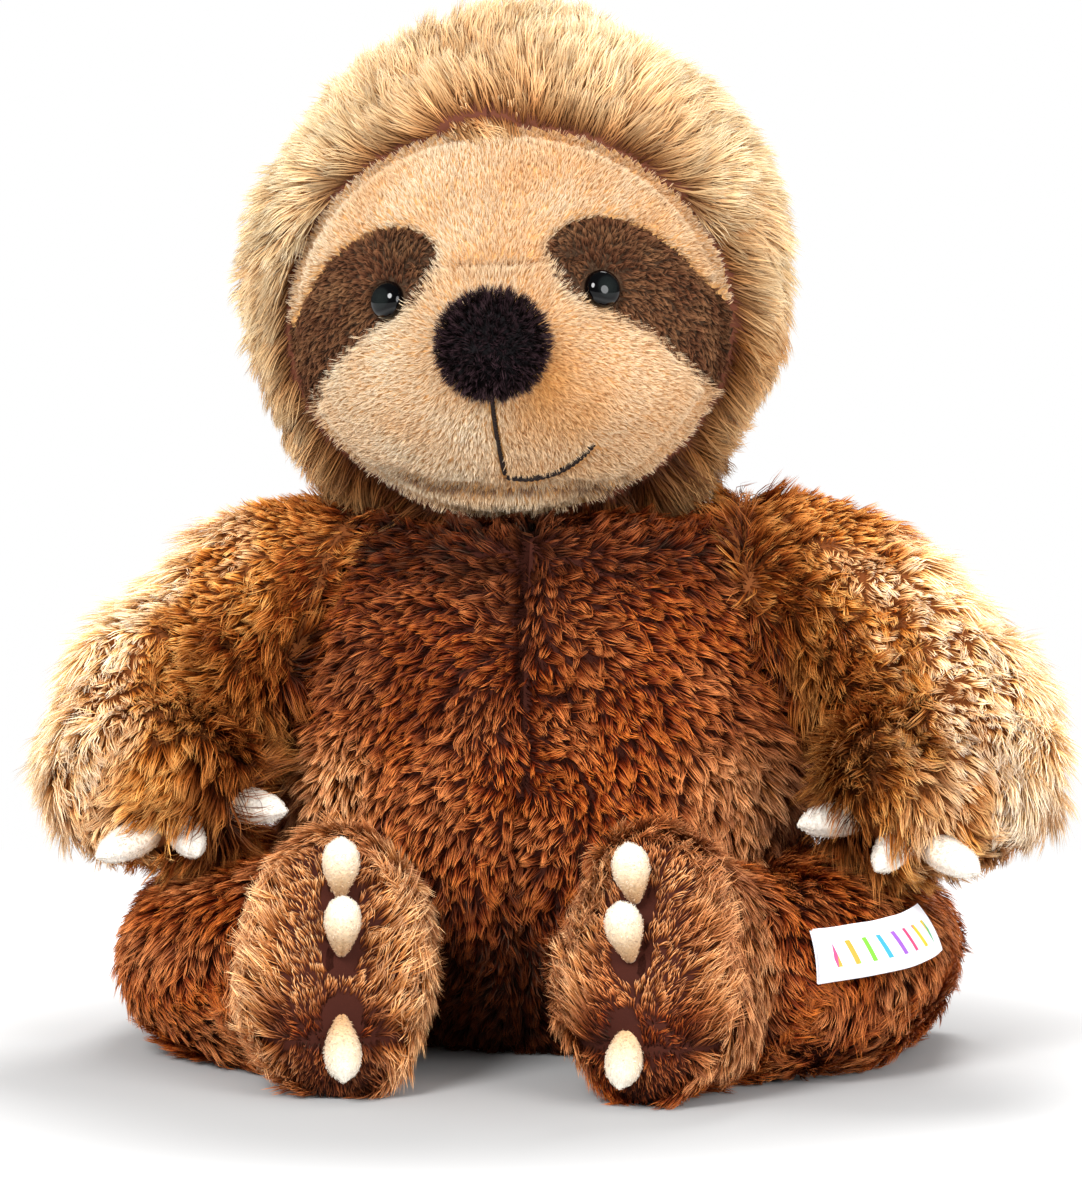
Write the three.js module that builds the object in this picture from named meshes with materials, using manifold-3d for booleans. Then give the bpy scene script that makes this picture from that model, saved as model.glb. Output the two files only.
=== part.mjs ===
// A sitting plush sloth with long pile, a short pile face and stuffed claws.
// Lengths are in millimetres. X points to the toy's left, Y to its back and Z up.
// The toy faces -Y and rests on Z = 0.

import * as THREE from 'three';
import { mergeVertices } from 'three/addons/utils/BufferGeometryUtils.js';
import Module from 'manifold-3d';

const wasm = await Module();
wasm.setup();

const vec = (x, y, z) => new THREE.Vector3(x, y, z);
const { sin, cos, sqrt, exp, PI } = Math;

// Fabric and clearances
const fabric = 1.7;
const seamGap = 0.3;
const stuffingGap = 0.6;
const floorCut = 0.5;
const overrun = 200;
const weld = 1e-4;

// Torso: each row of shares gives a height, and the width and depth there
const torso = { height: 71.5, width: 70, depth: 63, topLength: 5 };
const torsoPlaceShares = { belly: 0.04, sideSeam: -0.063 };
const torsoShares = [
  { up: 0.1, wide: 0.84, deep: 0.78 },
  { up: 0.24, wide: 0.98, deep: 0.97 },
  { up: 0.4, wide: 1, deep: 1 },
  { up: 0.58, wide: 0.95, deep: 0.93 },
  { up: 0.78, wide: 0.86, deep: 0.82 },
  { up: 1, wide: 0.68, deep: 0.68 },
];

// Shoulder seam: its place as shares of the torso's half width, half depth and height.
// It is the flat oval that an arm turns on, leaning in at the top.
const shoulderShares = { out: 0.874, ahead: 0.032, up: 0.769 };
const shoulder = {
  x: shoulderShares.out * torso.width / 2,
  y: -shoulderShares.ahead * torso.depth / 2,
  z: shoulderShares.up * torso.height,
  lean: 0.34,
};

// Head, in a frame of its own whose origin is the middle of the head
const head = { width: 69.5, depth: 62, height: 70, turn: 0.05, roll: -0.055 };
const muzzle = { depth: 9, width: 32, height: 30 };
const cheek = { depth: 3, width: 18 };
const face = { width: 60, height: 52.2 };
const patch = { width: 22.4, height: 25.6 };
const probeShare = 0.001;
const swellEdgeShare = 0.5;

// Places on the head: above and aside of the neck, then out from its middle and up or down
// from it, as shares of the head's height and width
const headShares = { above: 0.457, aside: -0.07 };
const muzzleShares = { down: 0.136 };
const cheekShares = { out: 0.245, down: 0.229 };
const faceShares = { down: 0.063 };
const bridgeShares = { up: 0.0515, out: 0.302, down: 0.0857 };
const patchPlaceShares = { out: 0.1095, up: 0.127 };
const eyePlaceShares = { out: 0.2045, down: 0.003 };
const nosePlaceShares = { down: 0.0943 };
const mouthShares = { top: 0.2057, bottom: 0.3486 };
const smileShares = [[0.0145, 0.3486], [0.098, 0.3457], [0.1755, 0.2971]];
const patchShares = [
  [0, 0.1], [0.11, 0.015], [0.26, -0.01], [0.42, 0.015], [0.58, 0.09], [0.73, 0.2], [0.86, 0.34], [1, 0.5],
  [1.15, 0.75], [1.12, 0.98], [0.97, 1.03], [0.83, 0.89], [0.67, 0.71], [0.51, 0.58], [0.35, 0.49],
  [0.2, 0.42], [0.08, 0.33], [0.01, 0.22],
];

// Eyes with a stem through the patch and a lock washer behind it
const eye = { width: 5.2, height: 1.9, stemWidth: 1.6, stemLength: 4.2 };
const eyeShares = { seat: 0.8, rim: 0.3 };
const washer = { width: 8, thick: 1, gap: 0.3 };

// Nose and stitched mouth
const nose = { width: 15, height: 14.4, depth: 11 };
const noseShares = { proud: 0.218 };
const thread = { width: 0.9 };

// Legs: places outward as shares of the torso's half width, forward as shares of the length
const leg = {
  length: 58, heelLength: 9, soleLength: 6.5,
  thighWidth: 36, thighHeight: 26, kneeWidth: 35, kneeHeight: 26,
  ankleWidth: 24, ankleHeight: 29, footWidth: 22, footHeight: 35,
};
const legRouteShares = {
  hip: { out: 1.057, ahead: 0 },
  thigh: { out: 1.086, ahead: 0.26 },
  knee: { out: 0.986, ahead: 0.52 },
  ankle: { out: 0.69, ahead: 0.76 },
  foot: { out: 0.585, ahead: 1 },
};
const hipShares = { behind: 0.0635 };
const footSeamShare = 0.7;

// Arms: width across the seam plane, thickness through it. They reach out from the shoulder,
// forward and down, to paws that float over the thighs.
const arm = {
  width: 25, thick: 23, rootLength: 6,
  pawWidth: 28, pawThick: 21, pawLength: 10, pawGap: 11.2,
};
const armReach = { out: 25, ahead: 24.5, down: shoulder.z - leg.thighHeight - arm.pawGap };
// At rest both arms sway this far to the left.
const armSway = 2.4;
const armRouteShares = {
  root: { out: -0.264, ahead: -0.06, down: -0.42, sway: 0 },
  upper: { out: 0.3, ahead: 0.08, down: -0.28, sway: 0.25 },
  elbow: { out: 0.72, ahead: 0.39, down: 0.2, sway: 0.67 },
  wrist: { out: 0.93, ahead: 0.67, down: 0.62, sway: 0.92 },
  paw: { out: 0.92, ahead: 1, down: 1, sway: 1 },
};
const palmWayShares = [0.055, 0.757, -0.652];

// Stuffed claws: length and sunk root as shares of the full length, where each leaves its
// seam and how far it leans over as angles
const claw = { length: 9.5, root: 2.2, width: 5, tip: 2.6 };
const clawShares = { belly: 0.4, shoulder: 0.65, shoulderWide: 0.95, tip: 0.93 };
const handClawShares = [
  { long: 1, at: -1.12, lean: -0.25, sunk: 0.32 },
  { long: 0.895, at: -0.38, lean: -0.1, sunk: 0.32 },
  { long: 1, at: -0.02, lean: 0.95, sunk: 0.16 },
];
const footClawShares = [
  { long: 0.895, at: 0.6, lean: 0.6, sunk: 0.16 },
  { long: 0.95, at: 0.05, lean: 1, sunk: 0 },
  { long: 1, at: -0.4, lean: -0.7, sunk: 0 },
];

// Satin label on the outer side of the left leg, its middle as a share of the leg's spine.
// Its height round the leg and its climb are angles.
const label = { length: 24, height: 6.5, thick: 0.6, around: 0.38, climb: 0.25 };
const labelShares = { middle: 0.51 };

const beanTop = 19;

// Facet counts
const fine = { torso: [7, 20], head: [14, 26], limb: [6, 14], cap: 2 };
const round = { eye: 14, dome: 5, washer: 14, nose: [14, 9], claw: 9, thread: 6, threadSteps: 3 };
const labelGrid = [8, 3];

const material = {
  pile: finish(0x8a5a30, 0.95),
  hood: finish(0xc89a62, 0.95),
  face: finish(0xdcae78, 0.9),
  patch: finish(0x553c28, 0.9),
  nose: finish(0x1c1518, 0.9),
  claw: finish(0xf6efe0, 0.8),
  eye: finish(0x0c0a0a, 0.08),
  washer: finish(0xe8e8e4, 0.5),
  thread: finish(0x15100f, 0.7),
  stuffing: finish(0xf4f4f2, 1),
  beans: finish(0xd8d4c8, 0.6),
  label: finish(0xf0f0f2, 0.4),
};

function finish(color, roughness) {
  return new THREE.MeshStandardMaterial({ color, roughness, metalness: 0 });
}

// Solids and cuts

function solid(geometry) {
  const bare = geometry.clone();
  bare.deleteAttribute('normal');
  bare.deleteAttribute('uv');
  const merged = mergeVertices(bare, weld);
  return new wasm.Manifold(new wasm.Mesh({
    numProp: 3,
    vertProperties: merged.attributes.position.array,
    triVerts: new Uint32Array(merged.index.array),
  }));
}

function piece(name, shape, look) {
  const made = shape.getMesh();
  const geometry = new THREE.BufferGeometry();
  geometry.setAttribute('position', new THREE.BufferAttribute(made.vertProperties, 3));
  geometry.setIndex(new THREE.BufferAttribute(made.triVerts, 1));
  geometry.computeVertexNormals();
  const mesh = new THREE.Mesh(geometry, look.clone());
  mesh.name = name;
  return mesh;
}

// All space on the side of a plane that its normal points to.
function beyond(point, normal) {
  const unit = normal.clone().normalize();
  const block = new THREE.BoxGeometry(overrun, overrun, overrun).translate(0, 0, overrun / 2);
  block.applyQuaternion(new THREE.Quaternion().setFromUnitVectors(vec(0, 0, 1), unit));
  return solid(block.translate(point.x, point.y, point.z));
}

function moved(point, way, distance) {
  return point.clone().addScaledVector(way.clone().normalize(), distance);
}

// What of a shell lies on the side that the normal points to, half a seam away from the plane.
function sideOf(shell, point, normal) {
  return shell.subtract(beyond(moved(point, normal, seamGap / 2), normal.clone().negate()));
}

// A closed skin over rings of points, with one point at each end.
function skinOver(first, rings, last) {
  const sides = rings[0].length;
  const points = [first, ...rings.flat(), last];
  const top = 1 + (rings.length - 1) * sides;
  const faces = [];
  for (let j = 0; j < sides; j += 1) {
    const next = (j + 1) % sides;
    faces.push(0, 1 + next, 1 + j);
    faces.push(points.length - 1, top + j, top + next);
    for (let here = 1; here < top; here += sides) {
      faces.push(here + j, here + next, here + sides + next);
      faces.push(here + j, here + sides + next, here + sides + j);
    }
  }
  const geometry = new THREE.BufferGeometry().setFromPoints(points);
  geometry.setIndex(faces);
  const made = solid(geometry);
  if (made.volume() > 0) return made;
  geometry.setIndex(faces.reverse());
  return solid(geometry);
}

// A form's rings: some on the round of each cap, the rest evenly along the spine.
function stations(body) {
  const list = [];
  for (let i = 1; i <= fine.cap; i += 1) {
    const turn = (PI / 2) * (i / (fine.cap + 1));
    list.push({ t: 0, lift: -cos(turn), shrink: sin(turn) });
  }
  for (let i = 0; i <= body; i += 1) list.push({ t: i / body, lift: 0, shrink: 1 });
  for (let i = fine.cap; i >= 1; i -= 1) {
    const turn = (PI / 2) * (i / (fine.cap + 1));
    list.push({ t: 1, lift: cos(turn), shrink: sin(turn) });
  }
  return list;
}

// Spine and half widths of a stuffed form, as smooth curves.
function formCurves(form) {
  const smooth = (points) => new THREE.CatmullRomCurve3(points, false, 'catmullrom');
  return {
    spine: smooth(form.rows.map((row) => row.at)),
    sizes: smooth(form.rows.map((row) => vec(row.wide / 2, row.deep / 2, 0))),
  };
}

// Centre, directions and half widths of a form at one station.
function sectionAt(form, station, inset = 0) {
  const { spine, sizes } = formCurves(form);
  const along = spine.getTangent(station.t);
  const deep = moved(form.deepWay, along, -form.deepWay.dot(along)).normalize();
  const wide = vec().crossVectors(deep, along);
  const cap = (station.lift < 0 ? form.startCap : form.endCap) - inset;
  const centre = spine.getPoint(station.t).addScaledVector(along, cap * station.lift);
  const size = sizes.getPoint(station.t);
  return {
    centre, along, deep, wide,
    halfWide: (size.x - inset) * station.shrink,
    halfDeep: (size.y - inset) * station.shrink,
  };
}

// The closed form, drawn in by an inset, with every side or every few.
function stuffedForm(form, inset = 0, sideStep = 1) {
  const [body, sides] = form.facets;
  const rings = stations(body).map((station) => {
    const section = sectionAt(form, station, inset);
    return Array.from({ length: sides / sideStep }, (_, j) => {
      const angle = (2 * PI * j * sideStep) / sides;
      return section.centre.clone()
        .addScaledVector(section.wide, section.halfWide * cos(angle))
        .addScaledVector(section.deep, section.halfDeep * sin(angle));
    });
  });
  const first = sectionAt(form, { t: 0, lift: -1, shrink: 0 }, inset).centre;
  const last = sectionAt(form, { t: 1, lift: 1, shrink: 0 }, inset).centre;
  return skinOver(first, rings, last);
}

const onFloor = (height) => beyond(vec(0, 0, height), vec(0, 0, -1));

// Torso

const torsoForm = {
  rows: torsoShares.map((row) => ({
    at: vec(0, -torsoPlaceShares.belly * torso.depth * sin(PI * row.up), row.up * torso.height),
    wide: row.wide * torso.width,
    deep: row.deep * torso.depth,
  })),
  deepWay: vec(0, 1, 0),
  startCap: torsoShares[0].up * torso.height + floorCut,
  endCap: torso.topLength,
  facets: fine.torso,
};

function shoulderPlane(side, offset) {
  const normal = vec(side * cos(shoulder.lean), 0, sin(shoulder.lean));
  return { point: moved(vec(side * shoulder.x, shoulder.y, shoulder.z), normal, offset), normal };
}

function torsoSolid(inset, sideStep) {
  let made = stuffedForm(torsoForm, inset, sideStep).subtract(onFloor(inset));
  made = made.subtract(beyond(vec(0, 0, torso.height - inset), vec(0, 0, 1)));
  for (const side of [1, -1]) {
    const plane = shoulderPlane(side, -inset);
    made = made.subtract(beyond(plane.point, plane.normal));
  }
  return made;
}

function makeTorso() {
  const cover = torsoSolid(0).subtract(torsoSolid(fabric));
  const seam = vec(0, torsoPlaceShares.sideSeam * torso.depth, 0);
  const front = sideOf(cover, seam, vec(0, -1, 0));
  const filling = torsoSolid(fabric + stuffingGap, 2);
  const bagTop = vec(0, 0, beanTop);
  const group = new THREE.Group();
  group.add(piece('torso_front_left_panel', sideOf(front, vec(0, 0, 0), vec(1, 0, 0)), material.pile));
  group.add(piece('torso_front_right_panel', sideOf(front, vec(0, 0, 0), vec(-1, 0, 0)), material.pile));
  group.add(piece('torso_back_panel', sideOf(cover, seam, vec(0, 1, 0)), material.pile));
  group.add(piece('torso_stuffing', sideOf(filling, bagTop, vec(0, 0, 1)), material.stuffing));
  group.add(piece('bean_bag', sideOf(filling, bagTop, vec(0, 0, -1)), material.beans));
  return group;
}

// Head surface

function hill(x, z, wide, high) {
  return exp(-((x / wide) ** 2) - (z / high) ** 2);
}

// How far the muzzle and the cheeks stand proud of the plain head.
function faceSwell(x, z) {
  const out = cheekShares.out * head.width;
  const low = z + cheekShares.down * head.height;
  const cheeks = hill(x - out, low, cheek.width / 2, cheek.width / 2)
    + hill(x + out, low, cheek.width / 2, cheek.width / 2);
  const middle = hill(x, z + muzzleShares.down * head.height, muzzle.width / 2, muzzle.height / 2);
  return muzzle.depth * middle + cheek.depth * cheeks;
}

// The front of the head over a place in its own upright plane.
function headFront(x, z, inset = 0) {
  const left = 1 - (x / (head.width / 2 - inset)) ** 2 - (z / (head.height / 2 - inset)) ** 2;
  const bulge = sqrt(Math.max(left, 0));
  const swell = faceSwell(x, z) * Math.min(1, bulge / swellEdgeShare);
  return vec(x, -(head.depth / 2 - inset) * bulge - swell, z);
}

function headNormal(x, z) {
  const step = head.width * probeShare;
  const across = headFront(x + step, z).sub(headFront(x - step, z));
  const up = headFront(x, z + step).sub(headFront(x, z - step));
  return vec().crossVectors(across, up).normalize();
}

function headForm(inset, sideStep = 1) {
  const [rings, sides] = fine.head;
  const skin = [];
  for (let i = 1; i < rings; i += 1) {
    const fromNose = (PI * i) / rings;
    skin.push(Array.from({ length: sides / sideStep }, (_, j) => {
      const angle = (2 * PI * j * sideStep) / sides;
      const x = (head.width / 2 - inset) * sin(fromNose) * cos(angle);
      const z = (head.height / 2 - inset) * sin(fromNose) * sin(angle);
      if (fromNose < PI / 2) return headFront(x, z, inset);
      return vec(x, -(head.depth / 2 - inset) * cos(fromNose), z);
    }));
  }
  return skinOver(headFront(0, 0, inset), skin, vec(0, head.depth / 2 - inset, 0));
}

// Places the head's own frame on the torso.
function headGroup() {
  const group = new THREE.Group();
  group.position.set(headShares.aside * head.width, 0, torso.height + headShares.above * head.height);
  group.rotation.set(0, head.roll, head.turn);
  group.updateMatrixWorld(true);
  return group;
}

const toHead = headGroup().matrixWorld.clone().invert();

function headSolid(inset, sideStep) {
  const neck = vec(0, 0, torso.height + seamGap + inset).applyMatrix4(toHead);
  return headForm(inset, sideStep).subtract(beyond(neck, vec(0, 0, -1).transformDirection(toHead)));
}

// Face outlines, in the head's upright plane

function faceOutline() {
  return Array.from({ length: fine.head[1] }, (_, j) => {
    const angle = (2 * PI * j) / fine.head[1];
    const down = faceShares.down * head.height;
    return new THREE.Vector2((face.width / 2) * cos(angle), (face.height / 2) * sin(angle) - down);
  });
}

function patchOutline(side) {
  const inner = patchPlaceShares.out * head.width;
  const top = patchPlaceShares.up * head.height;
  const corners = patchShares.map(([out, down]) => vec(
    side * (inner + out * patch.width), top - down * patch.height, 0));
  const edge = new THREE.CatmullRomCurve3(corners, true);
  return edge.getPoints(2 * patchShares.length).slice(1).map((p) => new THREE.Vector2(p.x, p.y));
}

// The outline grown outward by a distance.
function grown(outline, distance) {
  const turn = THREE.ShapeUtils.area(outline) > 0 ? 1 : -1;
  return outline.map((point, i) => {
    const before = outline[(i + outline.length - 1) % outline.length];
    const after = outline[(i + 1) % outline.length];
    const way = after.clone().sub(before).normalize();
    return new THREE.Vector2(point.x + turn * way.y * distance, point.y - turn * way.x * distance);
  });
}

// The forehead's reach: above the bridge between the patches and lower down outside them.
function browOutline(lift) {
  const step = bridgeShares.out * head.width + lift;
  const bridge = bridgeShares.up * head.height + lift;
  const low = lift - bridgeShares.down * head.height;
  const half = [[0, bridge], [step, bridge], [step, low], [head.width, low], [head.width, head.height]];
  const other = half.slice(1).reverse().map(([x, z]) => [-x, z]);
  return [...half, ...other].map(([x, z]) => new THREE.Vector2(x, z));
}

// All space in front of the head's middle plane inside an outline.
function prism(outline) {
  const shape = new THREE.ExtrudeGeometry(new THREE.Shape(outline), {
    depth: overrun / 2, bevelEnabled: false, steps: 1 });
  return solid(shape.rotateX(PI / 2));
}

// A turned solid, its profile given as [radius, distance] from the axis foot.
function turned(profile, sides, foot, way) {
  const geometry = new THREE.LatheGeometry(profile.map(([r, d]) => new THREE.Vector2(r, d)), sides);
  geometry.rotateX(PI / 2);
  geometry.applyQuaternion(new THREE.Quaternion().setFromUnitVectors(vec(0, 0, 1), way));
  geometry.translate(foot.x, foot.y, foot.z);
  return solid(geometry);
}

function rod(foot, way, radius, from, to, sides) {
  return turned([[0, from], [radius, from], [radius, to], [0, to]], sides, foot, way);
}

function eyeFrame(side) {
  const x = side * eyePlaceShares.out * head.width;
  const z = -eyePlaceShares.down * head.height;
  return { foot: headFront(x, z), way: headNormal(x, z) };
}

function makeEye(side) {
  const { foot, way } = eyeFrame(side);
  const radius = eye.width / 2;
  const stem = eye.stemWidth / 2;
  const seat = seamGap;
  const profile = [
    [0, -eye.stemLength], [stem, -eye.stemLength], [stem, seat], [radius * eyeShares.seat, seat],
  ];
  for (let i = 1; i < round.dome; i += 1) {
    const turn = (PI / 2) * (i / round.dome);
    const height = eyeShares.rim + (1 - eyeShares.rim) * sin(turn);
    profile.push([radius * cos(turn), seat + eye.height * height]);
  }
  profile.push([0, seat + eye.height]);
  return turned(profile, round.eye, foot, way);
}

function makeWasher(side) {
  const { foot, way } = eyeFrame(side);
  const bore = eye.stemWidth / 2 + seamGap;
  const front = -(fabric + washer.gap);
  const back = front - washer.thick;
  const rim = washer.width / 2;
  const profile = [[bore, front], [bore, back], [rim, back], [rim, front], [bore, front]];
  return turned(profile, round.washer, foot, way);
}

function stemHole(side) {
  const { foot, way } = eyeFrame(side);
  return rod(foot, way, eye.stemWidth / 2 + seamGap, -eye.stemLength - seamGap, eye.height, round.eye);
}

function washerPocket(side) {
  const { foot, way } = eyeFrame(side);
  const depth = fabric + washer.gap + washer.thick + seamGap;
  return rod(foot, way, washer.width / 2 + seamGap, -depth, eye.height, round.washer);
}

function makeNose() {
  const [sides, rings] = round.nose;
  const ball = new THREE.SphereGeometry(1, sides, rings);
  ball.scale(nose.width / 2, nose.depth / 2, nose.height / 2);
  const foot = headFront(0, -nosePlaceShares.down * head.height);
  ball.translate(foot.x, foot.y - noseShares.proud * nose.depth, foot.z);
  return solid(ball).subtract(headForm(-seamGap));
}

// A thread laid on the face through places in its upright plane.
function makeThread(places) {
  const lift = thread.width / 2 + seamGap;
  const route = places.map(([x, z]) => headFront(x, z).addScaledVector(headNormal(x, z), lift));
  const section = new THREE.Shape(Array.from({ length: round.thread }, (_, j) => {
    const angle = (2 * PI * j) / round.thread;
    return new THREE.Vector2((thread.width / 2) * cos(angle), (thread.width / 2) * sin(angle));
  }));
  return solid(new THREE.ExtrudeGeometry(section, {
    steps: round.threadSteps * (places.length - 1),
    extrudePath: new THREE.CatmullRomCurve3(route),
    bevelEnabled: false,
  }));
}

function makeHead() {
  const group = headGroup();
  const shell = headSolid(0).subtract(headSolid(fabric));
  const faceShell = shell.intersect(prism(grown(faceOutline(), -seamGap / 2)));
  const hoodShell = shell.subtract(prism(grown(faceOutline(), seamGap / 2)));
  let plain = faceShell;
  let filling = headSolid(fabric + stuffingGap, 2);
  for (const [side, word] of [[1, 'left'], [-1, 'right']]) {
    const cut = prism(grown(patchOutline(side), seamGap / 2));
    const inner = prism(grown(patchOutline(side), -seamGap / 2));
    group.add(piece(`hood_${word}_panel`, sideOf(hoodShell, vec(0, 0, 0), vec(side, 0, 0)), material.hood));
    const patchShell = faceShell.intersect(inner).subtract(stemHole(side));
    group.add(piece(`eye_patch_${word}`, patchShell, material.patch));
    group.add(piece(`eye_${word}`, makeEye(side), material.eye));
    group.add(piece(`eye_washer_${word}`, makeWasher(side), material.washer));
    plain = plain.subtract(cut);
    filling = filling.subtract(washerPocket(side)).subtract(stemHole(side));
  }
  const middle = (mouthShares.top + mouthShares.bottom) / 2;
  const muzzleLine = [mouthShares.top, middle, mouthShares.bottom].map((down) => [0, -down * head.height]);
  const smileLine = smileShares.map(([out, down]) => [out * head.width, -down * head.height]);
  const forehead = plain.intersect(prism(browOutline(seamGap / 2)));
  const muzzle = plain.subtract(prism(browOutline(-seamGap / 2)));
  group.add(piece('forehead_panel', forehead, material.face));
  group.add(piece('muzzle_panel', muzzle, material.face));
  group.add(piece('nose', makeNose(), material.nose));
  group.add(piece('mouth_stitch_centre', makeThread(muzzleLine), material.thread));
  group.add(piece('mouth_stitch_smile', makeThread(smileLine), material.thread));
  group.add(piece('head_stuffing', filling, material.stuffing));
  return group;
}

// Limbs

const mirrored = (point, side) => vec(side * point[0], point[1], point[2]);

function armPlace(name, side) {
  const share = armRouteShares[name];
  return vec(
    side * (shoulder.x + share.out * armReach.out) + share.sway * armSway,
    shoulder.y - share.ahead * armReach.ahead,
    shoulder.z - share.down * armReach.down,
  );
}

function armForm(side) {
  const row = (name, wide, deep) => ({ at: armPlace(name, side), wide, deep });
  return {
    rows: [
      row('root', arm.width, arm.thick),
      row('upper', arm.width, arm.thick),
      row('elbow', arm.width, arm.thick),
      row('wrist', (arm.width + arm.pawWidth) / 2, (arm.thick + arm.pawThick) / 2),
      row('paw', arm.pawWidth, arm.pawThick),
    ],
    deepWay: mirrored(palmWayShares, side),
    startCap: arm.rootLength,
    endCap: arm.pawLength,
    facets: fine.limb,
  };
}

function armSolid(side, inset, sideStep) {
  const plane = shoulderPlane(side, seamGap + inset);
  const bodyside = beyond(plane.point, plane.normal.clone().negate());
  return stuffedForm(armForm(side), inset, sideStep).subtract(bodyside);
}

function legPlace(name, side, high) {
  const share = legRouteShares[name];
  const hip = hipShares.behind * torso.depth / 2;
  return vec(side * share.out * torso.width / 2, hip - share.ahead * leg.length, high / 2 - floorCut);
}

function legForm(side) {
  const row = (name, wide, deep) => ({ at: legPlace(name, side, deep), wide, deep });
  return {
    rows: [
      row('hip', leg.thighWidth, leg.thighHeight),
      row('thigh', leg.thighWidth, leg.thighHeight),
      row('knee', leg.kneeWidth, leg.kneeHeight),
      row('ankle', leg.ankleWidth, leg.ankleHeight),
      row('foot', leg.footWidth, leg.footHeight),
    ],
    deepWay: vec(0, 0, 1),
    startCap: leg.heelLength,
    endCap: leg.soleLength,
    facets: fine.limb,
  };
}

function legSolid(side, inset, sideStep) {
  return stuffedForm(legForm(side), inset, sideStep)
    .subtract(torsoSolid(-(seamGap + inset)))
    .subtract(onFloor(inset));
}

// A stuffed claw whose root lies in a limb's skin.
function clawSolid(foot, way, length) {
  const radius = claw.width / 2;
  const profile = [
    [0, 0],
    [claw.root / 2, 0],
    [radius, length * clawShares.belly],
    [radius * clawShares.shoulderWide, length * clawShares.shoulder],
    [claw.tip / 2, length * clawShares.tip],
    [0, length],
  ];
  return turned(profile, round.claw, foot, way);
}

// Claws in the seam round the end of a limb, in the plane of the end's long way and its axis.
function addClaws(group, name, form, list, across, half, skin) {
  const end = sectionAt(form, { t: 1, lift: 0, shrink: 1 });
  list.forEach((one, i) => {
    const foot = end.centre.clone()
      .addScaledVector(end.along, form.endCap * cos(one.at))
      .addScaledVector(across, half * sin(one.at));
    const aim = one.at + one.lean;
    const way = end.along.clone().multiplyScalar(cos(aim)).addScaledVector(across, sin(aim)).normalize();
    const root = moved(foot, way, -one.sunk * claw.length);
    const body = clawSolid(root, way, one.long * claw.length).subtract(skin);
    group.add(piece(`${name}_claw_${i + 1}`, body, material.claw));
  });
}

function makeArm(side, word) {
  const group = new THREE.Group();
  const form = armForm(side);
  const cover = armSolid(side, 0).subtract(armSolid(side, fabric));
  const seam = armPlace('elbow', side);
  const palmWay = mirrored(palmWayShares, side);
  group.add(piece(`arm_${word}_upper_panel`, sideOf(cover, seam, palmWay.clone().negate()), material.pile));
  group.add(piece(`arm_${word}_palm_panel`, sideOf(cover, seam, palmWay), material.pile));
  group.add(piece(`arm_${word}_stuffing`, armSolid(side, fabric + stuffingGap, 2), material.stuffing));
  const outward = sectionAt(form, { t: 1, lift: 0, shrink: 1 }).wide.multiplyScalar(-side);
  const skin = stuffedForm(form, -seamGap);
  addClaws(group, `arm_${word}`, form, handClawShares, outward, arm.pawWidth / 2, skin);
  return group;
}

function makeLeg(side, word) {
  const group = new THREE.Group();
  const form = legForm(side);
  const cover = legSolid(side, 0).subtract(legSolid(side, fabric));
  const seam = legPlace('foot', side, 0);
  const run = legPlace('knee', side, 0).sub(seam);
  const outward = vec(side * run.y, -side * run.x, 0);
  const ankle = sectionAt(form, { t: footSeamShare, lift: 0, shrink: 1 });
  const foot = sideOf(cover, ankle.centre, ankle.along);
  const thigh = sideOf(cover, ankle.centre, ankle.along.clone().negate());
  group.add(piece(`leg_${word}_thigh_panel`, thigh, material.pile));
  const inward = outward.clone().negate();
  group.add(piece(`leg_${word}_foot_outer_panel`, sideOf(foot, seam, outward), material.pile));
  group.add(piece(`leg_${word}_foot_inner_panel`, sideOf(foot, seam, inward), material.pile));
  group.add(piece(`leg_${word}_stuffing`, legSolid(side, fabric + stuffingGap, 2), material.stuffing));
  const skin = stuffedForm(form, -seamGap);
  addClaws(group, `leg_${word}`, form, footClawShares, vec(0, 0, 1), leg.footHeight / 2, skin);
  return group;
}

// The label follows the leg's skin, climbing a little towards the thigh.
function makeLabel() {
  const form = legForm(1);
  const [steps, rows] = labelGrid;
  const { spine } = formCurves(form);
  const rings = Array.from({ length: steps + 1 }, (_, i) => {
    const run = i / steps - 1 / 2;
    const t = spine.getUtoTmapping(labelShares.middle - run * label.length / spine.getLength());
    const section = sectionAt(form, { t, lift: 0, shrink: 1 });
    const corner = (row, lift) => {
      const across = (row / rows - 1 / 2) * label.height / section.halfDeep;
      const angle = label.around + label.climb * run + across;
      return section.centre.clone()
        .addScaledVector(section.wide, (section.halfWide + lift) * cos(angle))
        .addScaledVector(section.deep, (section.halfDeep + lift) * sin(angle));
    };
    const ring = [];
    for (let row = 0; row <= rows; row += 1) ring.push(corner(row, seamGap));
    for (let row = rows; row >= 0; row -= 1) ring.push(corner(row, seamGap + label.thick));
    return ring;
  });
  const middle = (ring) => ring.reduce((sum, p) => sum.add(p), vec(0, 0, 0)).divideScalar(ring.length);
  return piece('side_label', skinOver(middle(rings[0]), rings, middle(rings[steps])), material.label);
}

const sloth = new THREE.Group();
sloth.add(makeTorso(), makeHead());
sloth.add(makeArm(1, 'left'), makeArm(-1, 'right'));
sloth.add(makeLeg(1, 'left'), makeLeg(-1, 'right'));
sloth.add(makeLabel());

export default sloth;
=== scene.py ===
"""A sitting plush sloth: long brown pile, a short pile face with dark patches, stuffed claws.

Lengths are in millimetres where no comment says otherwise. new_mesh turns them into metres.
"""
import math

import bpy
import numpy as np
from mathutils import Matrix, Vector
from mathutils.kdtree import KDTree


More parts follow.
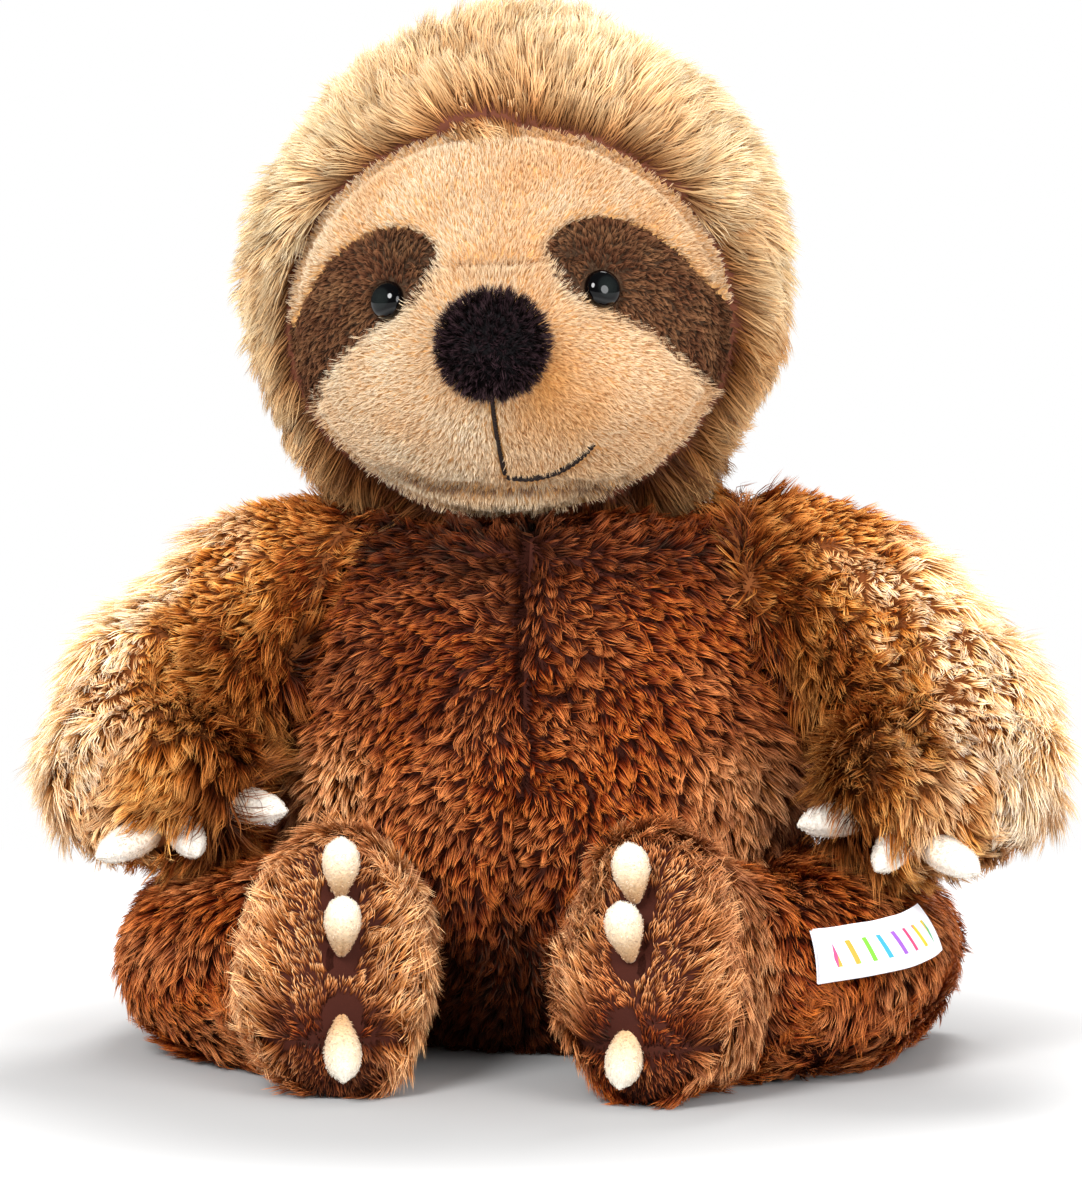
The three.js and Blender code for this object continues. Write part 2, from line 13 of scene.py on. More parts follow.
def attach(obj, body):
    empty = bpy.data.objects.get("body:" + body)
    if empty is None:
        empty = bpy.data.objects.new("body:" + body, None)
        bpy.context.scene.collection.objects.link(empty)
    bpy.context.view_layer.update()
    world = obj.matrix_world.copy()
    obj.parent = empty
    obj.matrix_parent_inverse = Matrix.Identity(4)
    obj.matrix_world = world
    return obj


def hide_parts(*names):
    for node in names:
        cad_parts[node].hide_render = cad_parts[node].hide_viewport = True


MM = 0.001
PI, TURN = math.pi, 2 * math.pi
UP, DOWN = np.array((0.0, 0.0, 1.0)), np.array((0.0, 0.0, -1.0))
DENSITY, WIDER = ((1.0, 1.0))

# The camera's target and distance in metres, and its angle, which is the photograph's.
TARGET = Vector((-1.5, 0.0, 60.0)) * MM
AZIMUTH, ELEVATION, DISTANCE, LENS = math.radians(8), math.radians(5), 0.8, 172.8


def placed(name, data, place, way):
    """A camera or lamp at a place in metres, looking along a way."""
    item = bpy.data.objects.new(name, data)
    bpy.context.scene.collection.objects.link(item)
    item.location = place
    item.rotation_mode = "QUATERNION"
    item.rotation_quaternion = way.to_track_quat("-Z", "Y")
    return item


def make_camera():
    data = bpy.data.cameras.new("camera")
    data.lens, data.clip_start, data.clip_end = LENS, 0.05, 10
    level = math.cos(ELEVATION)
    way = Vector((math.sin(AZIMUTH) * level, -math.cos(AZIMUTH) * level, math.sin(ELEVATION)))
    bpy.context.scene.camera = placed("camera", data, TARGET + way * DISTANCE, -way)


make_camera()
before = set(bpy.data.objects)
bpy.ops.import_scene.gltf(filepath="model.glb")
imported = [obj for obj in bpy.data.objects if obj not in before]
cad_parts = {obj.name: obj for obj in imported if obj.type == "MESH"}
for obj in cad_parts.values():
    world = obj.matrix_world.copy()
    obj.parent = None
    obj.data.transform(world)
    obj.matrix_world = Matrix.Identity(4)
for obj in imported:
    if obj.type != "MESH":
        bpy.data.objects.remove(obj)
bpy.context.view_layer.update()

# The solids' sizes, as the stuffed forms below need them.
TORSO = dict(height=71.5, width=70.0, depth=63.0, belly=0.04, top=5.0, floor=0.5, seam_y=-4.0)
TORSO_ROWS = (  # share of the height, then shares of the width and of the depth
    (0.1, 0.84, 0.78), (0.24, 0.98, 0.97), (0.4, 1, 1), (0.58, 0.95, 0.93), (0.78, 0.86, 0.82), (1, 0.68, 0.68))
SHOULDER = dict(x=30.59, y=-1.0, z=54.98, lean=0.34)
HEAD = dict(width=69.5, depth=62.0, height=70.0, x=-4.87, z=103.49, turn=0.05, roll=-0.055)
# The muzzle and the cheeks: middle, half width, half height and how far they swell.
SWELLS = ((0.0, -9.52, 16.0, 15.0, 9.0), (17.03, -16.03, 9.0, 9.0, 3.0), (-17.03, -16.03, 9.0, 9.0, 3.0))
FACE = dict(width=60.0, height=52.2, down=4.41)
# The seam between forehead and muzzle: over the nose's bridge, and outside the eye patches.
BRIDGE_X, BRIDGE_Z, BROW_X, BROW_Z = 12, 3.6, 21.0, -6.0
# The fold under the mouth.
FOLD_X, FOLD_Z = (-18.2, -10.3, -1.2, 8.8, 16.9), (-22.8, -25.8, -26.7, -26.8, -28.6)
PATCH = dict(width=22.4, height=25.6, out=7.61, up=8.89)
PATCH_SHARES = (
    (0, 0.1), (0.11, 0.015), (0.26, -0.01), (0.42, 0.015), (0.58, 0.09), (0.73, 0.2), (0.86, 0.34), (1, 0.5),
    (1.15, 0.75), (1.12, 0.98), (0.97, 1.03), (0.83, 0.89), (0.67, 0.71), (0.51, 0.58), (0.35, 0.49), (0.2, 0.42),
    (0.08, 0.33), (0.01, 0.22))
EYE = dict(width=5.2, out=14.21, down=0.21)
NOSE = dict(width=15.0, height=14.4, depth=11.0, down=6.6, proud=2.4, cloth=2.2)
MOUTH = ((-0.5, -13.4), (-0.6, -17.0), (-0.6, -20.5), (-0.5, -24.3))
SMILE = ((-0.4, -24.6), (2.8, -25.0), (6.4, -24.3), (9.4, -22.7), (11.8, -20.6))
# Limbs: places along the spine, and the full sizes across it.
ARM_PLACES = (
    (23.99, 0.47, 62.46), (38.09, -2.96, 59.96), (48.59, -10.56, 51.42), (53.84, -17.42, 43.96), (53.59, -25.5, 37.2))
ARM_SWAY = (0.0, 0.6, 1.61, 2.21, 2.4)
ARM_SIZES = ((25, 23), (25, 23), (25, 23), (26.5, 22), (28, 21))
PALM_WAY = (0.055, 0.757, -0.652)
LEG_PLACES = ((37.0, 2.0), (38.01, -13.08), (34.51, -28.16), (24.15, -42.08), (20.48, -56.0))
LEG_SIZES = ((36, 26), (36, 26), (35, 26), (24, 29), (22, 35))
# Claws: length, angle of the root round the limb's end, lean from there, and how deep the root is sunk.
HAND_CLAWS = ((9.5, -1.12, -0.25, 3.04), (8.5, -0.38, -0.1, 3.04), (9.5, -0.02, 0.95, 1.52))
FOOT_CLAWS = ((8.5, 0.6, 0.6, 1.52), (9.03, 0.05, 1.0, 0.0), (9.5, -0.4, -0.7, 0.0))
# Half widths of a claw at some shares of its length.
CLAW_AT = (0, 0.12, 0.25, 0.4, 0.52, 0.64, 0.76, 0.86, 0.93, 0.98)
HAND_CLAW_WIDE = (1.6, 2.1, 2.45, 2.55, 2.45, 2.2, 1.9, 1.5, 1.05, 0.6)
FOOT_CLAW_WIDE = (0.7, 1.15, 1.65, 2.2, 2.5, 2.5, 2.25, 1.8, 1.25, 0.65)
LABEL = dict(length=24.5, height=6.8, around=0.38, climb=0.25, middle=0.51, fold=0.3, proud=3.0)
SIDES = (("left", 1), ("right", -1))


# ---------------------------------------------------------------- curves, noise and meshes

def srgb(red, green, blue):
    """A colour of 0 to 255 as the linear one that a shader takes."""
    def one(c):
        c /= 255
        return c / 12.92 if c <= 0.04045 else ((c + 0.055) / 1.055) ** 2.4
    return (one(red), one(green), one(blue), 1.0)


def unit(v):
    return v / np.maximum(np.linalg.norm(v, axis=-1, keepdims=True), 1e-12)


def dot(a, b):
    return (a * b).sum(-1, keepdims=True)


def smooth(low, high, x):
    t = np.clip((x - low) / (high - low), 0, 1)
    return t * t * (3 - 2 * t)


def bell(x, width):
    return np.exp(-(x / width) ** 2)


def circle(sides):
    return np.linspace(0, TURN, sides, endpoint=False)


def running(path):
    """The length of a path up to each of its points."""
    return np.concatenate([[0], np.cumsum(np.linalg.norm(np.diff(path, axis=0), axis=1))])


def catmull(points, t):
    """Points of an open Catmull-Rom curve at shares t of its way."""
    pts = np.asarray(points, float)
    last = len(pts) - 1
    at = np.clip(t, 0, 1) * last
    i = np.minimum(at.astype(int), last - 1)
    w = (at - i)[:, None]
    pts = np.vstack([2 * pts[0] - pts[1], pts, 2 * pts[-1] - pts[-2]])
    a, b, c, d = (pts[i + k] for k in range(4))
    m, n = (c - a) / 2, (d - b) / 2
    return b + m * w + (3 * (c - b) - 2 * m - n) * w ** 2 + (2 * (b - c) + m + n) * w ** 3


def waves(points, size, seed, count=7):
    """Smooth noise of about unit spread, whose hills are about size apart."""
    r = np.random.default_rng(seed)
    ways = unit(r.normal(size=(count, 3))) * (TURN / size) * r.uniform(0.6, 1.5, (count, 1))
    return np.sin(points @ ways.T + r.uniform(0, TURN, count)).sum(1) / math.sqrt(count / 2)


def ruffle(points, size, seed):
    """Smooth noise that turns ways left and right, and up and down."""
    return np.stack([waves(points, size, seed), 0 * points[:, 0], waves(points, size, seed + 1)], 1)


def to_segment(points, start, end):
    """Distance of flat points to a straight line between two others."""
    run = end - start
    t = np.clip(((points - start) @ run) / (run @ run), 0, 1)
    return np.linalg.norm(points - start - t[:, None] * run, axis=1)


def new_mesh(name, verts, loops, sizes):
    """A smooth mesh from vertices, a flat list of corners and the number of corners of each face."""
    mesh = bpy.data.meshes.new(name)
    mesh.vertices.add(len(verts))
    mesh.vertices.foreach_set("co", (np.asarray(verts) * MM).astype(np.float32).ravel())
    mesh.loops.add(len(loops))
    mesh.loops.foreach_set("vertex_index", np.asarray(loops, np.int32))
    mesh.polygons.add(len(sizes))
    starts = np.concatenate([[0], np.cumsum(sizes)[:-1]]).astype(np.int32)
    mesh.polygons.foreach_set("loop_start", starts)
    mesh.polygons.foreach_set("use_smooth", np.full(len(sizes), True))
    mesh.update(calc_edges=True)
    mesh.validate()
    return mesh


def set_field(mesh, name, values):
    """A named number or triple for each point, which a material can read."""
    kind, key = ("FLOAT", "value") if values.ndim == 1 else ("FLOAT_VECTOR", "vector")
    mesh.attributes.new(name, kind, "POINT").data.foreach_set(key, values.astype(np.float32).ravel())


def set_uv(mesh, corners):
    mesh.uv_layers.new(name="OFBake")
    mesh.uv_layers["OFBake"].uv.foreach_set("vector", corners.astype(np.float32).ravel())


def new_piece(name, mesh, material):
    piece = bpy.data.objects.new(name, mesh)
    bpy.context.scene.collection.objects.link(piece)
    mesh.materials.append(material)
    return piece


class Skin:
    """A grid of points in rings, closed by a point at each end, with its normals and named fields."""

    def __init__(self, rings, first, last):
        rows, sides = rings.shape[:2]
        self.points = np.vstack([first[None], rings.reshape(-1, 3), last[None]])
        row, side = np.meshgrid(np.arange(rows - 1), np.arange(sides), indexing="ij")
        nxt = (side + 1) % sides
        at = lambda r, s: 1 + r * sides + s
        self.quads = np.stack([at(row, side), at(row, nxt), at(row + 1, nxt), at(row + 1, side)], -1).reshape(-1, 4)
        j = np.arange(sides)
        n = (j + 1) % sides
        end = len(self.points) - 1
        self.tris = np.vstack([np.stack([np.zeros_like(j), 1 + n, 1 + j], -1),
                               np.stack([np.full_like(j, end), at(rows - 1, j), at(rows - 1, n)], -1)])
        self.fields = {}
        self.refresh()

    def triangles(self):
        """The triangles, and the points at their three corners."""
        tri = np.vstack([self.quads[:, [0, 1, 2]], self.quads[:, [0, 2, 3]], self.tris])
        return tri, *(self.points[tri[:, k]] for k in range(3))

    def refresh(self):
        """Works the normals out again, and turns the faces outward."""
        tri, a, b, c = self.triangles()
        if (a * np.cross(b, c)).sum() < 0:
            self.quads, self.tris = self.quads[:, ::-1], self.tris[:, ::-1]
            tri, a, b, c = self.triangles()
        face = np.cross(b - a, c - a)
        total = np.zeros_like(self.points)
        for k in range(3):
            np.add.at(total, tri[:, k], face)
        self.normals = unit(total)

    def mesh(self, name, keep=None):
        """The whole skin, or its faces that have at least two kept corners."""
        quads, tris = self.quads, self.tris
        if keep is not None:
            quads, tris = quads[keep[quads].sum(1) >= 2], tris[keep[tris].sum(1) >= 2]
        used, index = np.unique(np.concatenate([quads.ravel(), tris.ravel()]), return_inverse=True)
        return new_mesh(name, self.points[used], index.ravel(), [4] * len(quads) + [3] * len(tris))


def stations(body, cap):
    """Rings along a form: place on the spine, lift into a cap, and how far the ring is drawn in."""
    turn = (PI / 2) * np.arange(1, cap + 1) / (cap + 1)
    ends = np.stack([np.zeros(cap), -np.cos(turn), np.sin(turn)], 1)
    middle = np.stack([np.linspace(0, 1, body), np.zeros(body), np.ones(body)], 1)
    far = np.stack([np.ones(cap), np.cos(turn), np.sin(turn)], 1)[::-1]
    return np.vstack([ends, middle, far])


class Form:
    """A stuffed form: a spine, half sizes across it and a round cap at each end."""

    def __init__(self, places, sizes, deep_way, caps):
        self.places, self.sizes = np.asarray(places, float), np.asarray(sizes, float) / 2
        self.deep_way, self.caps = np.asarray(deep_way, float), caps

    def section(self, t, lift=None):
        """Middle, way along, way deep, way wide and half sizes at shares t of the spine."""
        t = np.atleast_1d(np.asarray(t, float))
        lift = np.zeros_like(t) if lift is None else lift
        e = 1e-4
        along = unit(catmull(self.places, np.minimum(t + e, 1)) - catmull(self.places, np.maximum(t - e, 0)))
        deep = unit(self.deep_way - along * dot(self.deep_way[None], along))
        cap = np.where(lift < 0, self.caps[0], self.caps[1])
        centre = catmull(self.places, t) + along * (cap * lift)[:, None]
        return centre, along, deep, np.cross(deep, along), catmull(self.sizes, t)

    def skin(self, body, cap, sides):
        rows = stations(body, cap)
        centre, along, deep, wide, size = self.section(rows[:, 0], rows[:, 1])
        angle = circle(sides)[None, :, None]
        half = size * rows[:, 2:]
        rings = (centre[:, None] + wide[:, None] * half[:, None, :1] * np.cos(angle)
                 + deep[:, None] * half[:, None, 1:] * np.sin(angle))
        first = self.section([0.0], np.array([-1.0]))[0][0]
        last = self.section([1.0], np.array([1.0]))[0][0]
        made = Skin(rings, first, last)
        ways = np.repeat(along[:, None], sides, 1).reshape(-1, 3)
        made.fields["along"] = np.vstack([along[:1], ways, along[-1:]])
        share = np.repeat(rows[:, :1] + rows[:, 1:2] * 0.15, sides, 1).reshape(-1, 1)
        made.fields["share"] = np.vstack([share[:1], share, share[-1:]])
        return made


def behind_plane(points, place, normal):
    """Points beyond a plane are set on it."""
    past = np.maximum((points - place) @ normal, 0)
    return points - past[:, None] * normal


def shoulder_plane(side):
    s = SHOULDER
    return np.array((side * s["x"], s["y"], s["z"])), np.array((side * math.cos(s["lean"]), 0, math.sin(s["lean"])))


def torso_form():
    places = [(0, -TORSO["belly"] * TORSO["depth"] * math.sin(PI * up), up * TORSO["height"])
              for up, _, _ in TORSO_ROWS]
    sizes = [(wide * TORSO["width"], deep * TORSO["depth"]) for _, wide, deep in TORSO_ROWS]
    return Form(places, sizes, (0, 1, 0), (TORSO_ROWS[0][0] * TORSO["height"] + TORSO["floor"], TORSO["top"]))


def torso_reach(points):
    """The torso's section at each point's height, as a share: under 1 is inside. Also the section's middle."""
    form = torso_form()
    up = np.clip((points[:, 2] / TORSO["height"] - 0.1) / 0.9, 0, 1)
    heights = np.array([row[0] for row in TORSO_ROWS])
    t = np.interp(up * 0.9 + 0.1, heights, np.linspace(0, 1, len(heights)))
    centre, _, _, _, size = form.section(t)
    flat = points[:, :2] - centre[:, :2]
    return np.sqrt((flat[:, 0] / size[:, 0]) ** 2 + (flat[:, 1] / size[:, 1]) ** 2), centre


def torso_skin():
    skin = torso_form().skin(60, 16, 120)
    skin.points[:, 2] = np.clip(skin.points[:, 2], 0, TORSO["height"])
    for _, side in SIDES:
        skin.points = behind_plane(skin.points, *shoulder_plane(side))
    skin.refresh()
    # The seams draw in: down the front, and down both sides.
    x, y, z = skin.points.T
    front = bell(x, 1.6) * (y < -5)
    side = bell(y - TORSO["seam_y"], 1.5) * (np.abs(x) > 20)
    skin.points -= skin.normals * (1.3 * front + 0.8 * side)[:, None] * (z > 2)[:, None]
    skin.points += skin.normals * (0.5 * waves(skin.points, 26, 3) * (z > 6))[:, None]
    skin.points[:, 2] = np.maximum(skin.points[:, 2], 0)
    skin.refresh()
    return skin


def arm_form(side):
    places = [(side * x + sway, y, z) for (x, y, z), sway in zip(ARM_PLACES, ARM_SWAY)]
    return Form(places, ARM_SIZES, (side * PALM_WAY[0], PALM_WAY[1], PALM_WAY[2]), (6.0, 10.0))


def arm_skin(side):
    skin = arm_form(side).skin(56, 14, 84)
    place, normal = shoulder_plane(side)
    skin.points = behind_plane(skin.points, place + normal * 0.3, -normal)
    skin.refresh()
    bumps = 0.45 * waves(skin.points, 18, 5 + side) + 0.3 * waves(skin.points, 7, 15 + side)
    skin.points += skin.normals * bumps[:, None]
    skin.points = behind_plane(skin.points, place + normal * 0.3, -normal)
    skin.refresh()
    return skin


def leg_form(side):
    places = [(side * x, y, high / 2 - 0.5) for (x, y), (_, high) in zip(LEG_PLACES, LEG_SIZES)]
    return Form(places, LEG_SIZES, (0, 0, 1), (9.0, 6.5))


def leg_skin(side):
    """The leg, laid against the outside of the torso where it would be inside."""
    skin = leg_form(side).skin(60, 16, 90)
    reach, centre = torso_reach(skin.points)
    flat = skin.points - centre
    flat[:, 2] = 0
    out = centre + flat / np.maximum(reach, 0.05)[:, None] * 1.012
    out[:, 2] = skin.points[:, 2]
    skin.points = np.where((reach < 1.0)[:, None], out, skin.points)
    skin.refresh()
    ankle = bell(skin.fields["share"][:, 0] - 0.72, 0.035)
    skin.points += skin.normals * (0.4 * waves(skin.points, 20, 9 + side) - 0.7 * ankle)[:, None]
    skin.points[:, 2] = np.maximum(skin.points[:, 2], 0)
    skin.refresh()
    return skin


# ---------------------------------------------------------------- the head

def head_turn():
    """Rotation of the head's own frame: it leans about Y, then turns about Z."""
    c, s = math.cos(HEAD["roll"]), math.sin(HEAD["roll"])
    roll = np.array([[c, 0, s], [0, 1, 0], [-s, 0, c]])
    c, s = math.cos(HEAD["turn"]), math.sin(HEAD["turn"])
    return roll @ np.array([[c, -s, 0], [s, c, 0], [0, 0, 1]])


HEAD_TURN = head_turn()
HEAD_AT = np.array((HEAD["x"], 0.0, HEAD["z"]))


def in_head(ways):
    return ways @ HEAD_TURN.T


def from_head(points):
    return in_head(points) + HEAD_AT


def to_head(points):
    return (points - HEAD_AT) @ HEAD_TURN


def swell(x, z):
    return sum(high * np.exp(-((x - cx) / wide) ** 2 - ((z - cz) / tall) ** 2) for cx, cz, wide, tall, high in SWELLS)


def face_front(x, z):
    """The front of the head over places in its own upright plane."""
    x, z = np.atleast_1d(x).astype(float), np.atleast_1d(z).astype(float)
    bulge = np.sqrt(np.maximum(1 - (2 * x / HEAD["width"]) ** 2 - (2 * z / HEAD["height"]) ** 2, 0))
    return np.stack([x, -HEAD["depth"] / 2 * bulge - swell(x, z) * np.minimum(1, bulge / 0.5), z], -1)


def face_normal(x, z):
    e = 0.07
    across = face_front(x + e, z) - face_front(x - e, z)
    up = face_front(x, z + e) - face_front(x, z - e)
    return unit(np.cross(across, up))


def patch_outline(side):
    corners = np.array([(side * (PATCH["out"] + out * PATCH["width"]), PATCH["up"] - down * PATCH["height"], 0)
                        for out, down in PATCH_SHARES])
    ring = np.vstack([corners[-1], corners, corners[:2]])
    parts = [catmull(ring[i:i + 4], np.linspace(1 / 3, 2 / 3, 6, endpoint=False)) for i in range(len(corners))]
    return np.vstack(parts)[:, :2]


def to_outline(x, z, outline):
    """Distance to a closed outline, negative inside it."""
    p = np.stack([x, z], -1)
    best, inside = np.full(len(p), 1e9), np.zeros(len(p), bool)
    for a, b in zip(outline, np.roll(outline, -1, 0)):
        best = np.minimum(best, to_segment(p, a, b))
        cross = (a[1] > p[:, 1]) != (b[1] > p[:, 1])
        with np.errstate(divide="ignore", invalid="ignore"):
            inside ^= cross & (p[:, 0] < (b[0] - a[0]) * (p[:, 1] - a[1]) / (b[1] - a[1]) + a[0])
    return np.where(inside, -best, best)


FACE_RING = np.stack([FACE["width"] / 2 * np.cos(circle(96)),
                      FACE["height"] / 2 * np.sin(circle(96)) - FACE["down"]], -1)
PATCH_RINGS = [patch_outline(side) for _, side in SIDES]
HOOD, FOREHEAD, MUZZLE, PATCH_LEFT, PATCH_RIGHT = range(5)
# What stands for no seam near, and how far back the panels of the face reach.
FAR, FACE_BACK = 99, -2


def head_zones(points):
    """Each point's panel, distance to the nearest seam and to the face's edge, and place in the head's frame."""
    own = to_head(points)
    x, y, z = own.T
    face = to_outline(x, z, FACE_RING)
    left, right = (to_outline(x, z, ring) for ring in PATCH_RINGS)
    zone = np.where(z > np.where(np.abs(x) > BROW_X, BROW_Z, BRIDGE_Z), FOREHEAD, MUZZLE)
    zone = np.where(left < 0, PATCH_LEFT, np.where(right < 0, PATCH_RIGHT, zone))
    hood = (face > 0) | (y > FACE_BACK)
    bridge = np.where(np.abs(x) < BRIDGE_X, np.abs(z - BRIDGE_Z), FAR)
    seam = np.where(hood, FAR, np.minimum(np.minimum(np.abs(left), np.abs(right)), bridge))
    return np.where(hood, HOOD, zone), seam, np.where(y > FACE_BACK, FAR, face), own


def above_fold(own):
    """Height above the fold under the mouth."""
    return own[:, 2] - np.interp(own[:, 0], FOLD_X, FOLD_Z)


def head_skin():
    rows, sides = 190, 260
    from_nose = PI * (np.arange(1, rows) / rows)[:, None]
    angle = circle(sides)[None]
    x = HEAD["width"] / 2 * np.sin(from_nose) * np.cos(angle)
    z = HEAD["height"] / 2 * np.sin(from_nose) * np.sin(angle)
    front = face_front(x.ravel(), z.ravel()).reshape(rows - 1, sides, 3)
    back = np.stack([x, -HEAD["depth"] / 2 * np.cos(from_nose) + 0 * x, z], -1)
    rings = np.where((from_nose < PI / 2)[..., None], front, back)
    skin = Skin(from_head(rings), from_head(face_front(0, 0))[0], from_head(np.array([0, HEAD["depth"] / 2, 0])))
    zone, seam, face, own = head_zones(skin.points)
    groove = 0.9 * bell(seam, 0.7) + 2.2 * bell(face, 1.2)
    # A fold runs under the mouth, and the chin swells below it.
    fold = above_fold(own)
    chin = 2.0 * bell(fold, 1.1) - 0.8 * bell(fold + 3, 1.6)
    groove += chin * smooth(20, 12, np.abs(own[:, 0])) * (own[:, 1] < 0)
    skin.points -= skin.normals * groove[:, None]
    skin.points += skin.normals * (0.5 * waves(skin.points, 24, 31) * (zone == HOOD))[:, None]
    skin.points[:, 2] = np.maximum(skin.points[:, 2], TORSO["height"] + 0.3)
    skin.refresh()
    return skin


# ---------------------------------------------------------------- pile

class Places:
    """Random places on a skin, by area and by a weight of its points."""

    def __init__(self, skin, count, seed, weight=None):
        self.rng = rng = np.random.default_rng(seed)
        tri, a, b, c = skin.triangles()
        area = np.linalg.norm(np.cross(b - a, c - a), axis=1)
        if weight is not None:
            area = area * weight[tri].mean(1)
        pick = tri[rng.choice(len(tri), int(count * DENSITY), p=area / area.sum())]
        u, v = rng.random((2, count))
        u, v = np.where(u + v > 1, (1 - u, 1 - v), (u, v))
        share = np.stack([1 - u - v, u, v], 1)
        mix = lambda field: (field[pick] * share[..., None]).sum(1)
        self.points, self.normals = mix(skin.points), unit(mix(skin.normals))
        self.fields = {name: mix(field) for name, field in skin.fields.items()}

    def keep(self, mask):
        self.points, self.normals = self.points[mask], self.normals[mask]
        self.fields = {name: field[mask] for name, field in self.fields.items()}


def by_place(points):
    """An order in which neighbours in space come near each other."""
    low, high = points.min(0), points.max(0)
    cell = ((points - low) / np.maximum(high - low, 1e-6).max() * 255).astype(np.int64)
    key = np.zeros(len(points), np.int64)
    for bit in range(8):
        for axis in range(3):
            key |= ((cell[:, axis] >> bit) & 1) << (3 * bit + axis)
    return np.argsort(key, kind="stable")


def leaders(points, size, rng):
    """For each root, the root that leads its lock of about size strands."""
    chosen = rng.choice(len(points), max(len(points) // size, 1), replace=False)
    tree = KDTree(len(chosen))
    for i, index in enumerate(chosen):
        tree.insert(points[index], i)
    tree.balance()
    return chosen[np.array([tree.find(p)[1] for p in points])]


def lay_pile(places, comb, length, rise, segments, lock, yaw, wave=0.04, clump=(0.8, 1.4), tight=0.2, vary=0.25,
             lift=0.16):
    """Paths of strands: they rise from the skin, lie over along the comb and gather into locks.

    rise is the angle to the skin at the root and at the tip. Also gives a tone for each strand."""
    rng, points, normals = places.rng, places.points, places.normals
    count = len(points)
    lead = leaders(points, lock, rng)
    comb = unit(comb - normals * dot(comb, normals))
    turn = (rng.normal(0, yaw[0], count))[lead] + rng.normal(0, yaw[1], count)
    side = np.cross(normals, comb)
    comb = comb * np.cos(turn)[:, None] + side * np.sin(turn)[:, None]
    side = np.cross(normals, comb)
    length = length * (1 + vary * rng.uniform(-1, 1, count)[lead]) * (1 + 0.5 * vary * rng.uniform(-1, 1, count))
    lift = rng.normal(0, lift, count)[lead] + rng.normal(0, 0.6 * lift, count)
    middle = (np.arange(segments) + 0.5) / segments
    angle = np.clip(rise[0] + (rise[1] - rise[0]) * middle[None] ** 0.7 + lift[:, None], 0.03, 1.5)
    way = comb[:, None] * np.cos(angle)[..., None] + normals[:, None] * np.sin(angle)[..., None]
    steps = np.cumsum(way, 1) * (length / segments)[:, None, None]
    path = np.concatenate([points[:, None], points[:, None] + steps], 1)
    s = np.linspace(0, 1, segments + 1)[None]
    phase, bend = rng.uniform(0, TURN, (count, 1)), rng.uniform(0.6, 1.4, (count, 1))
    path += side[:, None] * (np.sin(TURN * s * bend + phase) * s * wave * length[:, None])[..., None]
    pull = (clump[0] * s ** clump[1])[..., None]
    offset = points - points[lead]
    path += pull * (path[lead] + tight * offset[:, None] - path)
    tone = 0.65 * rng.random(count)[lead] + 0.35 * rng.random(count)
    return path, tone


PILE_FACES = 196000  # the most in one piece
TWIST = 1.2  # the most that a blade is turned about its own way
PILE_FLOOR = 0.15  # the lowest that a strand goes


def add_pile(name, places, laid, width, pale, material, body):
    """Strands as tapering blades, in pieces of less than the most faces that one may have."""
    path, tone = laid
    count, nodes = path.shape[:2]
    segments = nodes - 1
    path[..., 2] = np.maximum(path[..., 2], PILE_FLOOR)
    rng = places.rng
    width = np.broadcast_to(width * WIDER, count) * rng.uniform(0.75, 1.25, count)
    pale = np.broadcast_to(pale, count)
    faces = 2 * segments - 1
    corners = []
    for k in range(segments - 1):
        corners += [2 * k, 2 * k + 2, 2 * k + 3, 2 * k, 2 * k + 3, 2 * k + 1]
    corners = np.array(corners + [2 * segments - 2, 2 * segments, 2 * segments - 1])
    s = np.linspace(0, 1, nodes)
    parts = np.array_split(by_place(places.points), math.ceil(count * faces / PILE_FACES))
    for number, part in enumerate(parts, 1):
        many = len(part)
        p, n = path[part], places.normals[part][:, None]
        tangent = unit(np.gradient(p, axis=1))
        side = unit(np.cross(tangent, n) + 1e-5)
        over = np.cross(side, tangent)
        turn = rng.uniform(-TWIST, TWIST, (many, 1, 1)) + rng.uniform(-0.5, 0.5, (many, 1, 1)) * s[None, :, None]
        blade = side * np.cos(turn) + over * np.sin(turn)
        half = (0.5 * width[part][:, None] * (0.7 + 0.6 * s - 1.3 * s ** 3)[None])[..., None]
        left, right = (p - blade * half)[:, :-1], (p + blade * half)[:, :-1]
        pairs = np.stack([left, right], 2).reshape(many, -1, 3)
        verts = np.concatenate([pairs, p[:, -1:]], 1)
        each = verts.shape[1]
        loops = (corners[None] + np.arange(many)[:, None] * each).ravel()
        piece_name = name if len(parts) == 1 else f"{name}_{number}"
        mesh = new_mesh(piece_name, verts.reshape(-1, 3), loops, np.full(many * faces, 3))
        values = np.ones((many, each, 3))
        values[..., 0] = np.append(np.repeat(s[:-1], 2), 1)[None]
        values[..., 1] = tone[part][:, None]
        values[..., 2] = pale[part][:, None]
        set_field(mesh, "pile", values)
        # Each strand has its own cell of the OFBake UV map.
        columns = math.ceil(math.sqrt(many * 1.5))
        rows = math.ceil(many / columns)
        at = np.arange(many)
        cell = np.stack([at % columns / columns, at // columns / rows], 1)
        inner = np.stack([np.tile([0.15, 0.85], segments), np.repeat(0.1 + 0.8 * s[:-1], 2)], 1)
        uv = cell[:, None] + np.concatenate([inner, [[0.5, 0.9]]])[None] / np.array([columns, rows])
        set_uv(mesh, uv.reshape(-1, 2)[loops])
        piece = new_piece(piece_name, mesh, material)
        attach(piece, body)


# ---------------------------------------------------------------- materials

